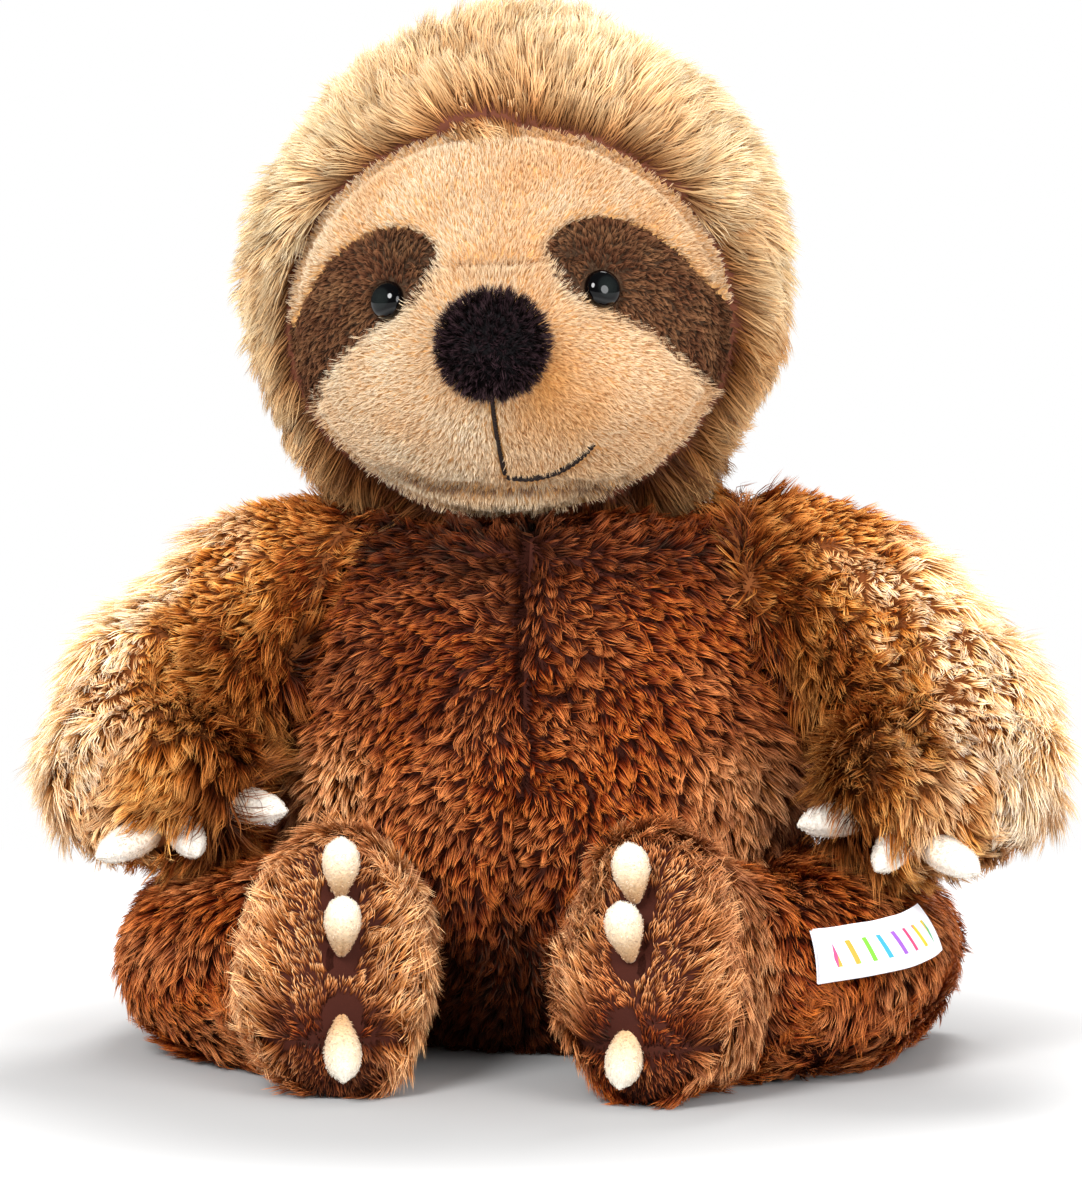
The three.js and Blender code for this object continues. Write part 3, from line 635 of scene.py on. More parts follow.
class Shader:
    """A node material around one Principled shader."""

    def __init__(self, name, roughness=0.6, **values):
        self.material = bpy.data.materials.new(name)
        self.material.use_nodes = True
        self.tree = self.material.node_tree
        self.base = self.tree.nodes["Principled BSDF"]
        for key, value in dict(Roughness=roughness, **values).items():
            self.base.inputs[key.replace("_", " ")].default_value = value

    def add(self, kind, **options):
        node = self.tree.nodes.new(kind)
        for key, value in options.items():
            setattr(node, key, value)
        return node

    def link(self, start, end):
        self.tree.links.new(start, end)

    def feed(self, sockets, *values):
        """Links sockets and sets values, in the order of the sockets."""
        for socket, value in zip(sockets, values):
            if isinstance(value, bpy.types.NodeSocket):
                self.link(value, socket)
            else:
                socket.default_value = value

    def maths(self, kind, *values, clamp=False):
        node = self.add("ShaderNodeMath", operation=kind, use_clamp=clamp)
        self.feed(node.inputs, *values)
        return node.outputs[0]

    def vector(self, kind, *values, out=0):
        node = self.add("ShaderNodeVectorMath", operation=kind)
        self.feed(node.inputs, *values)
        return node.outputs[out]

    def mix(self, factor, a, b):
        node = self.add("ShaderNodeMix", data_type="RGBA")
        self.feed([node.inputs[k] for k in (0, 6, 7)], factor, a, b)
        return node.outputs[2]

    def ramp(self, factor, stops):
        node = self.add("ShaderNodeValToRGB")
        steps = node.color_ramp.elements
        steps[0].position, steps[0].color = stops[0]
        steps[1].position, steps[1].color = stops[-1]
        for place, colour in stops[1:-1]:
            steps.new(place).color = colour
        self.feed(node.inputs, factor)
        return node.outputs[0]

    def noise(self, scale, detail=2.0, rough=0.5):
        where = self.add("ShaderNodeTexCoord")
        node = self.add("ShaderNodeTexNoise")
        sockets = [node.inputs[name] for name in ("Vector", "Scale", "Detail", "Roughness")]
        self.feed(sockets, where.outputs["Object"], scale, detail, rough)
        return node.outputs[0]

    def scaled(self, colour, factor):
        node = self.add("ShaderNodeVectorMath", operation="SCALE")
        self.feed([node.inputs[0], node.inputs["Scale"]], colour, factor)
        return node.outputs[0]

    def split(self, vector):
        node = self.add("ShaderNodeSeparateXYZ")
        self.link(vector, node.inputs[0])
        return node.outputs

    def fade(self, value, low, high):
        """0 up to low, and 1 from high on."""
        node = self.add("ShaderNodeMapRange", interpolation_type="SMOOTHSTEP")
        self.feed([node.inputs[name] for name in ("Value", "From Min", "From Max")], value, low, high)
        return node.outputs[0]

    def field(self, name, output):
        return self.add("ShaderNodeAttribute", attribute_name=name).outputs[output]

    def paint(self, colour):
        self.link(colour, self.base.inputs["Base Color"])

    def bump(self, height, strength, distance):
        node = self.add("ShaderNodeBump")
        self.feed([node.inputs[name] for name in ("Height", "Strength", "Distance")], height, strength, distance)
        self.link(node.outputs[0], self.base.inputs["Normal"])


def pile_material(name, dark, light, patchy, tone, sheen, red, gloss, between=None):
    """Pile from root to tip: dark stops where pale is 0, light stops where it is 1, stops between halfway."""
    shader = Shader(name, 0.5, Specular_IOR_Level=gloss, Specular_Tint=(1, 0.8, 0.55, 1), Sheen_Weight=sheen,
                    Sheen_Roughness=0.5)
    along, shade, pale = shader.split(shader.field("pile", "Vector"))
    if between:
        first = shader.maths("MULTIPLY", pale, 2.0, clamp=True)
        second = shader.maths("MULTIPLY_ADD", pale, 2.0, -1, clamp=True)
        colour = shader.mix(first, shader.ramp(along, dark), shader.ramp(along, between))
        colour = shader.mix(second, colour, shader.ramp(along, light))
    else:
        colour = shader.mix(pale, shader.ramp(along, dark), shader.ramp(along, light))
    spot = shader.maths("MULTIPLY_ADD", shader.noise(90), 2 * patchy, 1 - patchy)
    # Tones run from -0.5 to 1. Strands of a low tone are darker and redder.
    low, high = tone
    level = shader.ramp(shader.maths("MULTIPLY_ADD", shade, 2 / 3, 1 / 3), [
        (0, (0.3 * low / high, 0.2 * low / high, 0.18 * low / high, 1)),
        (1 / 3, (low / high, red * low / high, red * low / high, 1)), (1, (1, 1, 1, 1))])
    shaded = shader.scaled(level, shader.maths("MULTIPLY", spot, high))
    shader.paint(shader.vector("MULTIPLY", colour, shaded))
    return shader.material


def cloth_material(name, colour, other, scale=600, strength=0.3, rough=0.85):
    shader = Shader(name, rough, Specular_IOR_Level=0.2)
    fine = shader.noise(scale, 3.0, 0.7)
    shader.paint(shader.mix(shader.noise(120), srgb(*colour), srgb(*other)))
    shader.bump(fine, strength, 0.0004)
    return shader.material


def palette(places, *colours):
    return [(place, srgb(*colour)) for place, colour in zip(places, colours)]


# Where the colours lie from root to tip. Each palette runs from a dark root to a light tip: partly the fibres' own
# colours, partly painted shade deep in the pile and painted light on the tips.
LONG_AT, HOOD_AT, SHORT_AT, ENDS = (0, 0.28, 0.58, 0.88), (0, 0.3, 0.7, 1), (0, 0.5, 1), (0, 1)
BODY_DARK = palette(LONG_AT, (30, 4, 2), (68, 16, 4), (124, 47, 13), (206, 116, 47))
BODY_PALE = palette(LONG_AT, (80, 32, 9), (154, 86, 36), (212, 152, 88), (250, 218, 166))
LIMB_DARK = palette(LONG_AT, (40, 8, 3), (86, 28, 7), (142, 62, 18), (220, 136, 60))
LIMB_GOLD = palette(LONG_AT, (92, 34, 6), (158, 82, 22), (214, 136, 54), (252, 198, 114))
LIMB_PALE = palette(LONG_AT, (180, 114, 50), (240, 190, 118), (255, 230, 178), (255, 247, 222))
HOOD_DARK = palette(HOOD_AT, (116, 60, 24), (168, 106, 54), (204, 150, 94), (226, 182, 128))
HOOD_PALE = palette(HOOD_AT, (160, 108, 62), (216, 166, 112), (241, 210, 160), (252, 238, 206))
FACE_DARK = palette(SHORT_AT, (180, 112, 50), (222, 158, 90), (236, 182, 114))
FACE_PALE = palette(SHORT_AT, (204, 164, 116), (234, 208, 170), (245, 231, 208))
PATCH_DARK = palette(SHORT_AT, (40, 18, 10), (84, 48, 30), (122, 80, 54))
PATCH_PALE = palette(SHORT_AT, (66, 38, 24), (116, 78, 50), (156, 116, 80))
NOSE_DARK = palette(SHORT_AT, (4, 2, 3), (18, 11, 13), (70, 50, 56))
CLAW_DARK = palette(ENDS, (190, 146, 100), (220, 186, 144))
CLAW_PALE = palette(ENDS, (222, 212, 196), (240, 235, 225))

body_pile = pile_material("body_pile", BODY_DARK, BODY_PALE, 0.15, (0.5, 1.6), 0.0, 0.72, 0.2)
limb_pile = pile_material("limb_pile", LIMB_DARK, LIMB_PALE, 0.12, (0.66, 1.35), 0.0, 0.88, 0.2, LIMB_GOLD)
hood_pile = pile_material("hood_pile", HOOD_DARK, HOOD_PALE, 0.15, (0.56, 1.2), 0.0, 1.0, 0.2)
face_pile = pile_material("face_pile", FACE_DARK, FACE_PALE, 0.08, (0.7, 0.98), 0.04, 1.0, 0.1)
patch_pile = pile_material("patch_pile", PATCH_DARK, PATCH_PALE, 0.1, (0.75, 1.25), 0.04, 1.0, 0.1)
nose_pile = pile_material("nose_pile", NOSE_DARK, NOSE_DARK, 0.1, (0.7, 1.3), 0.0, 1.0, 0.1)
claw_pile = pile_material("claw_pile", CLAW_DARK, CLAW_PALE, 0.06, (0.92, 1.06), 0.04, 1.0, 0.1)
body_backing = cloth_material("body_backing", (48, 14, 5), (66, 24, 9))
limb_backing = cloth_material("limb_backing", (104, 54, 20), (124, 68, 28))
hood_backing = cloth_material("hood_backing", (84, 42, 30), (104, 58, 38))
face_backing = cloth_material("face_backing", (206, 150, 90), (222, 170, 110))
patch_backing = cloth_material("patch_backing", (58, 40, 26), (72, 50, 32))
nose_backing = cloth_material("nose_backing", (16, 13, 15), (24, 19, 22))
thread_material = cloth_material("stitch_thread", (30, 22, 20), (44, 34, 30), 2500, 0.4, 0.6)


# ---------------------------------------------------------------- torso

def cover(name, skin, keep, material, slot, body, fill, *nodes):
    """A piece from the kept part of a skin, in place of some solids."""
    piece = new_piece(f"{name}_cover", skin.mesh(f"{name}_cover", keep), material)
    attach(piece, body)
    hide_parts(*nodes)
    return piece


def panels(skin, material, slot, body, fill, parts):
    """A cover for each panel of a skin: what it keeps, and what it replaces besides its own solid."""
    for name, (keep, *more) in parts.items():
        cover(name, skin, keep, material, slot, body, fill, f"{name}_panel", *more)


torso = torso_skin()
x, y, z = torso.points.T
front = y < TORSO["seam_y"]
panels(torso, body_backing, "body_pile", "torso", 0.8, {
    "torso_front_left": (front & (x > 0), "torso_stuffing"),
    "torso_front_right": (front & (x <= 0), "bean_bag"),
    "torso_back": (~front,)})

spots = Places(torso, 170000, 101, 1 + 0.8 * smooth(22, 28, np.abs(x)) * smooth(50, 40, z))
x, y, z = spots.points.T
shoulder_gap = np.min([(place - spots.points) @ normal for place, normal in map(shoulder_plane, (1, -1))], 0)
neck = np.hypot((x - HEAD["x"]) / 17, y / 15)
flat_top = TORSO["height"] - 0.1
front_seam = (np.abs(x) < 0.3) & (y < 0) & (z > 3)
spots.keep((z > 1) & ((z <= flat_top) | (neck > 1)) & (shoulder_gap > 0.3) & ~front_seam)
x, y, z = spots.points.T
wide, on_top = np.abs(x), z > flat_top
# Combed down and aside, parted at the front seam, and outward on the flanks and the flat top.
out = np.stack([np.sign(x), 0 * x, 0 * x], 1)
fall = (0.25 + 0.75 * smooth(66, 26, z))[:, None]
parted = (0.5 + 0.5 * smooth(0, 4, wide))[:, None]
comb = out * (1.15 - fall) * parted + DOWN * (fall + 0.3 * (1 - parted))
comb += ruffle(spots.points, 22, 11) * 0.25
comb = np.where((y > 5)[:, None], DOWN + 0.2 * out, comb)
comb += UP * 1.2 * smooth(66, 71, z)[:, None]
comb = np.where(on_top[:, None], np.stack([x - HEAD["x"], y, 0 * x], 1), comb)
flank = smooth(14, 26, wide) * smooth(46, 30, z) * smooth(2, 12, z)
streaked = (smooth(18, 25, wide) * smooth(36, 31, wide) * smooth(48, 39, z) * smooth(12, 22, z)
            * (y < 4) * (1 - 0.3 * (x > 0)))
pale = np.clip(0.03 + 0.06 * waves(spots.points, 20, 13) + 0.42 * streaked, 0, 1)
side_on = smooth(18, 30, wide) * smooth(56, 46, z) * smooth(31, 38, z) * smooth(18, 6, np.abs(y + 4))
comb += (out - comb) * (0.7 * side_on)[:, None]
long = 3.2 + 0.8 * flank + 5.2 * side_on
rise = (1.0 - 0.55 * on_top)[:, None], (0.32 - 0.15 * on_top - 0.2 * flank + 0.3 * side_on)[:, None]
path, tone = lay_pile(spots, comb, long, rise, 3, 11, (0.3, 0.2), 0.06, (0.75, 1.4), 0.3)
# Darker on the neck and upper chest under the head, low in the middle between the legs, and on the flanks beside the
# arms: painted shade. Also darker along the front seam, and lighter on the pale streaks.
tone = (tone + 0.15 * streaked - 0.62 * smooth(60, 68, z) - 0.28 * smooth(38, 52, z) * smooth(10, -6, x)
        - 0.12 * smooth(40, 54, z) - 1.15 * smooth(30, 12, z) * smooth(24, 12, wide))
tone = np.clip(tone - 0.4 * smooth(2.2, 0.3, wide) * (y < 0) - 0.4 * smooth(28, 32, wide)
               - 0.2 * smooth(20, 27, x) * smooth(56, 46, z), -0.5, 1)
add_pile("torso_pile", spots, (path, tone), 0.15, pale, body_pile, "torso")


# ---------------------------------------------------------------- arms and legs

def claw_skin(root, way, flat_way, long, wide):
    """A stuffed claw of the half widths given along it, round at the tip, with a seam down each side."""
    rows, sides, tip = 26, 28, 6
    share = np.linspace(0, 1, rows) ** 0.9 * 0.985
    half = np.interp(share, CLAW_AT, wide)
    half[-tip:] = half[-tip:] * np.sqrt(np.maximum(1 - np.linspace(0, 0.9, tip) ** 2, 0.02))
    side = unit(np.cross(way, flat_way)[None])[0]
    up = np.cross(side, way)
    angle = circle(sides)
    ring = side * np.cos(angle)[:, None] + up * np.sin(angle)[:, None] * 0.94
    rings = root + way * (share * long)[:, None, None] + ring[None] * half[:, None, None]
    skin = Skin(rings, root - way * 0.1, root + way * long)
    skin.fields["share"] = np.concatenate([[0], np.repeat(share, sides), [1]])[:, None]
    off_seam = np.abs(np.concatenate([[9], np.tile(np.sin(angle), rows), [9]]))
    skin.points -= skin.normals * (0.16 * bell(off_seam, 0.12))[:, None]
    skin.refresh()
    return skin


def claw_places(form, rows, half, cap, across):
    """Root, way and length of each claw on a limb's rounded end."""
    centre, along, _, _, _ = form.section([1.0])
    places = []
    for long, at, lean, sunk in rows:
        foot = centre[0] + along[0] * cap * math.cos(at) + across * half * math.sin(at)
        way = unit((along[0] * math.cos(at + lean) + across * math.sin(at + lean))[None])[0]
        places.append((foot - way * sunk, way, long))
    return places


def claw_material(name, tan):
    """Felt: tan at the root and white at the tip, with fine specks. The tan root is partly painted shade."""
    shader = Shader(name, 0.9, Specular_IOR_Level=0.15, Sheen_Weight=0.2)
    colour = shader.ramp(shader.field("share", "Fac"), palette((0, 0.3, 0.75, 1), *tan, (240, 236, 226)))
    speck = shader.ramp(shader.noise(1500, 2.0, 0.6), [(0.3, (0.84, 0.84, 0.84, 1)), (0.6, (1, 1, 1, 1))])
    shader.paint(shader.vector("MULTIPLY", colour, speck))
    shader.bump(shader.noise(1800, 3.0, 0.7), 0.35, 0.0003)
    return shader.material


def add_claws(limb, places, along, across, seed, tan, widths):
    for number, (root, way, long) in enumerate(places, 1):
        name = f"{limb}_claw_{number}"
        skin = claw_skin(root, way, np.cross(along, across), long, widths)
        piece = cover(name, skin, None, claw_material(f"{name}_felt", tan), "claw_fabric", limb, 0.9, name)
        set_field(piece.data, "share", skin.fields["share"][:, 0])
        fuzz = Places(skin, 2600, seed + number)
        fuzz.keep(fuzz.fields["share"][:, 0] > 0.06)
        comb = np.tile(way, (len(fuzz.points), 1)) + fuzz.rng.normal(0, 0.6, (len(fuzz.points), 3))
        laid = lay_pile(fuzz, comb, 0.34, (0.9, 0.3), 2, 4, (0.5, 0.4))
        pale = smooth(0.15, 0.8, fuzz.fields["share"][:, 0]) * 0.8 + 0.1
        add_pile(f"{name}_fuzz", fuzz, laid, 0.07, pale, claw_pile, limb)


def off_claws(spots, path, tone, pale, places, radius=2.6):
    """Leaves out the strands that would run through a claw."""
    clear = np.ones(len(path), bool)
    for root, way, long in places:
        off = path - root
        run = np.clip(off @ way, 0, long)
        gap = np.linalg.norm(off - run[..., None] * way, axis=-1)
        clear &= (gap > radius * (1 - 0.35 * run / long)).all(1)
    spots.keep(clear)
    return path[clear], tone[clear], pale[clear]


# Where the pale rim of each arm begins and is full, by how far its skin faces aside. The rim is partly painted rim
# light.
RIMS = {1: (0.05, 0.6), -1: (0.2, 0.75)}
# Colours of the claws' felt from the root on. The felt and its fuzz are darker toward the root: partly their own
# colour, partly painted shade where the claw meets the pile.
TAN_HAND = ((196, 160, 122), (228, 214, 196), (238, 232, 222))
TAN_FOOT = ((176, 126, 78), (214, 178, 134), (234, 214, 184))
# The line between the inner and the outer panel of a foot.
FOOT_SEAM_Y, FOOT_SEAM_X = (-62, -42, -28), np.array((20.5, 24, 34))
for word, side in SIDES:
    limb, form, skin = f"arm_{word}", arm_form(side), arm_skin(side)
    palm = (skin.normals @ unit(np.array([PALM_WAY]) * (side, 1, 1))[0]) > 0
    panels(skin, limb_backing, "limb_pile", limb, 0.75,
           {f"{limb}_upper": (~palm, f"{limb}_stuffing"), f"{limb}_palm": (palm,)})
    spots = Places(skin, 50000, 200 + side)
    place, normal = shoulder_plane(side)
    spots.keep((spots.points - place) @ normal > 0.5)
    share = spots.fields["share"][:, 0]
    off = (spots.points - place) @ normal
    outward = np.array((side, 0, 0))
    comb = spots.fields["along"] * (1 - 2.2 * smooth(4, 0.5, off))[:, None] + 0.25 * outward - 0.25 * UP
    comb += ruffle(spots.points, 18, 21) * 0.35
    edge = side * spots.normals[:, 0]
    edge_up = edge + 0.25 * spots.normals[:, 2]
    rim = smooth(*RIMS[side], edge_up) * smooth(0.15 + 0.05 * side, 0.4 + 0.05 * side, share)
    band = smooth(0.45, 0.85, edge_up) * smooth(0.05, 0.3, share)
    inner, upper = smooth(0.1, -0.6, edge), smooth(0.42, 0.08, share)
    near, paw = smooth(10, 1, off), smooth(0.75, 1, share)
    curly = np.clip(1 - band - inner - near, 0, 1) * smooth(0.95, 0.75, share)
    # Paler on the outer rim and a little on top: partly the pile's pale band, partly painted rim light. Less pale on
    # the inner side, toward the torso: painted shade.
    pale = np.clip(0.59 + 0.03 * side + 0.1 * waves(spots.points, 14, 23) + (0.6 - 0.3 * paw) * rim - 0.45 * inner
                   - 0.44 * upper + 0.06 * paw, 0, 1)
    long = 3.6 - 1.2 * curly + 3.0 * band + 3.3 * inner
    rise = (0.95 - 0.35 * band)[:, None], (0.1 + 0.3 * curly + 0.35 * inner)[:, None]
    clump = (0.7 - 0.4 * band)[:, None], 1.4
    path, tone = lay_pile(spots, comb, long, rise, 3, 10, (0.16 + 0.25 * curly, 0.17), 0.06, clump, 0.3)
    # Darker on the inner side and near the shoulder, between arm and torso: painted shade. The paw is darker too.
    tone = np.clip(tone - 0.4 * inner - 0.4 * near - (0.22 + 0.1 * side) * paw, -0.4, 1)
    _, along, _, wide, _ = form.section([1.0])
    across = wide[0] * -side
    claws = claw_places(form, HAND_CLAWS, 14, 10, across)
    path, tone, pale = off_claws(spots, path, tone, pale, claws)
    add_pile(f"{limb}_pile", spots, (path, tone), 0.16, pale, limb_pile, limb)
    add_claws(limb, claws, along[0], across, 300 + 10 * side, TAN_HAND, HAND_CLAW_WIDE)

    limb, form, skin = f"leg_{word}", leg_form(side), leg_skin(side)
    share = skin.fields["share"][:, 0]
    inner = (skin.points[:, 0] - np.interp(skin.points[:, 1], FOOT_SEAM_Y, side * FOOT_SEAM_X)) * side < 0
    panels(skin, body_backing, "limb_pile", limb, 0.75, {
        f"{limb}_thigh": (share < 0.7, f"{limb}_stuffing"),
        f"{limb}_foot_outer": ((share >= 0.7) & ~inner,),
        f"{limb}_foot_inner": ((share >= 0.7) & inner,)})
    spots = Places(skin, 62000, 220 + side)
    spots.keep(spots.points[:, 2] > 0.8)
    x, y, z = spots.points.T
    centre, along, _, _, _ = form.section([1.0])
    sole = smooth(-50, -56, y) * smooth(0.2, 0.8, -spots.normals[:, 1])
    dx, dz = x - centre[0, 0], z - centre[0, 2]
    comb = spots.fields["along"] * 0.6 + outward * 0.6 - UP * 0.5
    comb += ruffle(spots.points, 18, 24) * 0.3
    # On the sole the pile is combed aside from the seam that holds the claws.
    flow = np.stack([np.tanh(dx / 6) * 1.1, 0 * x, np.where(dz > -9, 0.75, -1.0)], 1)
    comb = comb + (flow - comb) * sole[:, None]
    # The right leg, on the key lamp's side, is painted paler, with a much paler sole edge, and the left leg is darker:
    # painted light and shade.
    pale = np.clip(0.05 - 0.02 * side + 0.07 * waves(spots.points, 14, 26)
                   + 0.08 * smooth(0.4, 0.9, side * spots.normals[:, 0]), 0, 1)
    rim, heel = smooth(3.5, 8, np.abs(dx)), smooth(-9, -15, dz)
    # Darker in a spot low in the middle of the sole, and towards the sole's bottom.
    sole_dark_spot = bell(dz + 7.5, 3.2) * smooth(8, 5, np.abs(dx))
    pale_sole = np.clip(0.41 - 0.06 * side + (0.26 - 0.16 * side) * rim * smooth(-17, -8, dz) - 0.45 * sole_dark_spot
                        - 0.3 * heel + 0.1 * waves(spots.points, 8, 27), 0, 1)
    foot_share = smooth(0.66, 0.8, spots.fields["share"][:, 0])
    pale = pale + (pale_sole - pale) * np.maximum(sole, 0.7 * foot_share)
    long = 4.2 + (1.4 + 3.4 * rim - 4.2) * sole
    rise, clump = ((0.85 - 0.3 * sole)[:, None], 0.08), ((0.6 - 0.3 * foot_share)[:, None], 1.4)
    path, tone = lay_pile(spots, comb, long, rise, 3, 9, (0.25, 0.18), 0.05, clump, 0.3, lift=0.1)
    tone = np.clip(tone - (0.6 * sole_dark_spot + 0.85 * heel) * sole - 0.08 * (1 + side) * (1 - sole), -0.4, 1)
    claws = claw_places(form, FOOT_CLAWS, 17.5, 6.5, UP)
    path, tone, pale = off_claws(spots, path, tone, pale, claws)
    add_pile(f"{limb}_pile", spots, (path, tone), 0.16, pale, body_pile, limb)
    add_claws(limb, claws, along[0], UP, 340 + 10 * side, TAN_FOOT, FOOT_CLAW_WIDE)


# ---------------------------------------------------------------- head pile

head = head_skin()
head_zone, _, _, own = head_zones(head.points)
panels(head, hood_backing, "hood_pile", "head", 0.85, {
    "hood_left": ((head_zone == HOOD) & (own[:, 0] > 0), "head_stuffing"),
    "hood_right": ((head_zone == HOOD) & (own[:, 0] <= 0),)})
panels(head, face_backing, "face_plush", "head", 0.85,
       {"forehead": (head_zone == FOREHEAD,), "muzzle": (head_zone == MUZZLE,)})
for name, kind in (("eye_patch_left", PATCH_LEFT), ("eye_patch_right", PATCH_RIGHT)):
    cover(name, head, head_zone == kind, patch_backing, "patch_plush", "head", 0.85, name)


def head_places(count, seed, kinds, clear):
    """Places in some zones of the head that are clear, and what head_zones says of them."""
    spots = Places(head, count, seed, np.isin(head_zone, kinds).astype(float))
    zone, _, face, own = head_zones(spots.points)
    spots.keep(np.isin(zone, kinds) & clear(spots.points, face, own))
    return spots, *head_zones(spots.points)


def above_neck(points, face, _):
    """Outside the face, and above the torso."""
    return (face > 0.5) & (points[:, 2] > TORSO["height"] + 0.8)


# The hood is combed back from the nose, and down on the sides and the back.
spots, _, _, face, own = head_places(115000, 401, [HOOD], above_neck)
nose_way = unit(np.array([[0, -1.0, -0.12]]))
ball = unit(own)
comb = -(nose_way - ball * (ball @ nose_way.T))
comb = unit(comb + 1e-6) + 0.75 * DOWN * smooth(8, 30, np.abs(own[:, 0]))[:, None]
comb += DOWN * smooth(0, 20, own[:, 1])[:, None] * 0.8
comb += ruffle(own, 24, 41) * 0.18
near, low = smooth(6, 0, face), smooth(-16, -28, own[:, 2])
fringe = bell(own[:, 0] + 2, 6.5) * smooth(4, 0.5, face) * (own[:, 2] > 0)
comb = comb * (1 - 2 * fringe)[:, None]
long = 7.6 - 1.8 * near + 2.2 * low
# Paler towards the head's outline as seen from the front: partly paler pile, partly painted rim light. Paler on the
# head's right side, toward the key lamp: painted light. Less pale near the face and low on the chin: painted shade.
outline_pale_and_rim_light = smooth(0.5, 1.0, np.hypot(own[:, 0], own[:, 2]) / 35) * smooth(-14, 4, own[:, 2])
pale = np.clip(0.3 + 0.15 * waves(own, 20, 43) + 0.5 * outline_pale_and_rim_light - 0.12 * near - 0.4 * low
               + 0.15 * smooth(4, -20, own[:, 0]) * (1 - low), 0, 1)
path, tone = lay_pile(spots, in_head(comb), long, (0.85, 0.06), 4, 14, (0.17, 0.12), 0.04, (0.4, 1.5), 0.35, 0.2, 0.08)
# Darker low on the chin, near the face and most of all in the seam round the face: painted shade. The fringe is
# lighter.
tone = tone - 0.4 * low - 0.1 * near + 0.3 * fringe - 0.45 * smooth(1.9, 0.7, face) * (1 - fringe)
add_pile("hood_pile", spots, (path, np.clip(tone, -0.6, 1)), 0.16, pale, hood_pile, "head")


def off_line(own, line, radius=0.5):
    flat, line = own[:, [0, 2]], np.array(line)
    return np.min([to_segment(flat, a, b) for a, b in zip(line[:-1], line[1:])], 0) > radius


def off_features(_points, _face, own):
    """Outside the nose and the stitched mouth."""
    nose_gap = np.hypot(own[:, 0] / 6.2, (own[:, 2] + NOSE["down"]) / 5.8)
    return (nose_gap > 1) & off_line(own, MOUTH) & off_line(own, SMILE)


spots, zone, seam, face, own = head_places(80000, 402, [FOREHEAD, MUZZLE], off_features)
radial = unit(np.stack([own[:, 0], 0 * face, own[:, 2] + NOSE["down"]], 1) + 1e-6)
comb = radial + ruffle(own, 12, 44) * 0.12
orange = np.exp(-((own[:, 0] - 7) / 6) ** 2 - ((own[:, 2] + 12) / 6) ** 2)
# Paler on the head's right side, toward the key lamp: painted light.
pale = np.clip(0.62 + 0.1 * waves(own, 10, 46) - 0.6 * orange + 0.2 * smooth(4, -8, own[:, 0]), 0, 1)
long = 1.15 + 0.8 * bell(seam, 1.5) * (zone == MUZZLE)
path, tone = lay_pile(spots, in_head(comb), long, (0.95, 0.3), 2, 3, (0.22, 0.16), 0.03, (0.4, 1.4), 0.3)
# Darker in the fold under the mouth: painted shade. Lighter low on the left cheek: painted light.
tone -= 0.9 * bell(above_fold(own), 0.8) * smooth(19, 13, np.abs(own[:, 0]))
tone += 0.3 * smooth(10, 17, own[:, 0]) * smooth(-2, -8, own[:, 2])
add_pile("face_pile", spots, (path, tone), 0.1, pale, face_pile, "head")

for (word, side), kind in zip(SIDES, (PATCH_LEFT, PATCH_RIGHT)):
    from_eye = lambda own: (own[:, 0] - side * EYE["out"], own[:, 2] + EYE["down"])
    off_eye = lambda _points, _face, own: np.hypot(*from_eye(own)) > 2.5
    spots, _, _, face, own = head_places(9000, 405 + side, [kind], off_eye)
    across, up = from_eye(own)
    comb = unit(np.stack([across, 0 * face, up], 1) + 1e-6) + 0.5 * DOWN
    laid = lay_pile(spots, in_head(comb), 1.3, (1.0, 0.35), 2, 7, (0.4, 0.2), 0.03, (0.85, 1.2), 0.15)
    pale = np.clip(0.25 + 0.2 * waves(own, 6, 47), 0, 1)
    add_pile(f"eye_patch_{word}_pile", spots, laid, 0.13, pale, patch_pile, "head")


# ---------------------------------------------------------------- nose, eyes and mouth

def ball_skin(centre, sizes, rows=40, sides=60):
    turn = PI * (np.arange(1, rows) / rows)[:, None]
    angle = circle(sides)[None]
    half = np.array(sizes) / 2
    rings = np.stack([np.sin(turn) * np.cos(angle), -np.cos(turn) + 0 * angle, np.sin(turn) * np.sin(angle)], -1) * half
    return Skin(from_head(rings + centre), from_head(centre + (0, -half[1], 0)), from_head(centre + (0, half[1], 0)))


nose_centre = face_front(0, -NOSE["down"])[0] + np.array((0, NOSE["depth"] / 2 - NOSE["proud"] - NOSE["cloth"], 0))
nose = ball_skin(nose_centre, (NOSE["width"] * 0.86, NOSE["depth"] * 0.9, NOSE["height"] * 0.86))
cover("nose", nose, None, nose_backing, "nose_plush", "head", 0.9, "nose")
spots = Places(nose, 9000, 410)
comb = spots.rng.normal(0, 1, spots.points.shape)
laid = lay_pile(spots, comb, 1.9, (1.35, 1.1), 2, 6, (0.8, 0.4), 0.05, (0.7, 1.2), 0.2)
add_pile("nose_pile", spots, laid, 0.14, 0.5, nose_pile, "head")

# The dome is lighter grey-green in the middle and nearly black at its rim: a painted reflection.
eye_shader = Shader("eye_gloss", 0.06, Specular_IOR_Level=0.3)
eye_shader.paint(eye_shader.ramp(eye_shader.field("share", "Fac"), palette(
    (0, 0.5, 0.62, 1), (24, 28, 27), (16, 19, 19), (4, 4, 5), (2, 2, 3))))


def lathe(name, profile, place, way, material, sides=48):
    """A turned piece: profile rows are (radius, height along way)."""
    side = unit(np.cross(way, in_head(UP))[None])[0]
    other = np.cross(side, way)
    angle = circle(sides)
    ring = side * np.cos(angle)[:, None] + other * np.sin(angle)[:, None]
    rows = np.array(profile)
    rings = place + ring[None] * rows[:, :1, None] + way * rows[:, 1:, None]
    mesh = Skin(rings, place + way * rows[0, 1], place + way * rows[-1, 1]).mesh(name)
    share = np.repeat(np.clip(rows[:, 0] / (EYE["width"] / 2), 0, 1), sides)
    set_field(mesh, "share", np.concatenate([[1], share, [0]]))
    return new_piece(name, mesh, material)


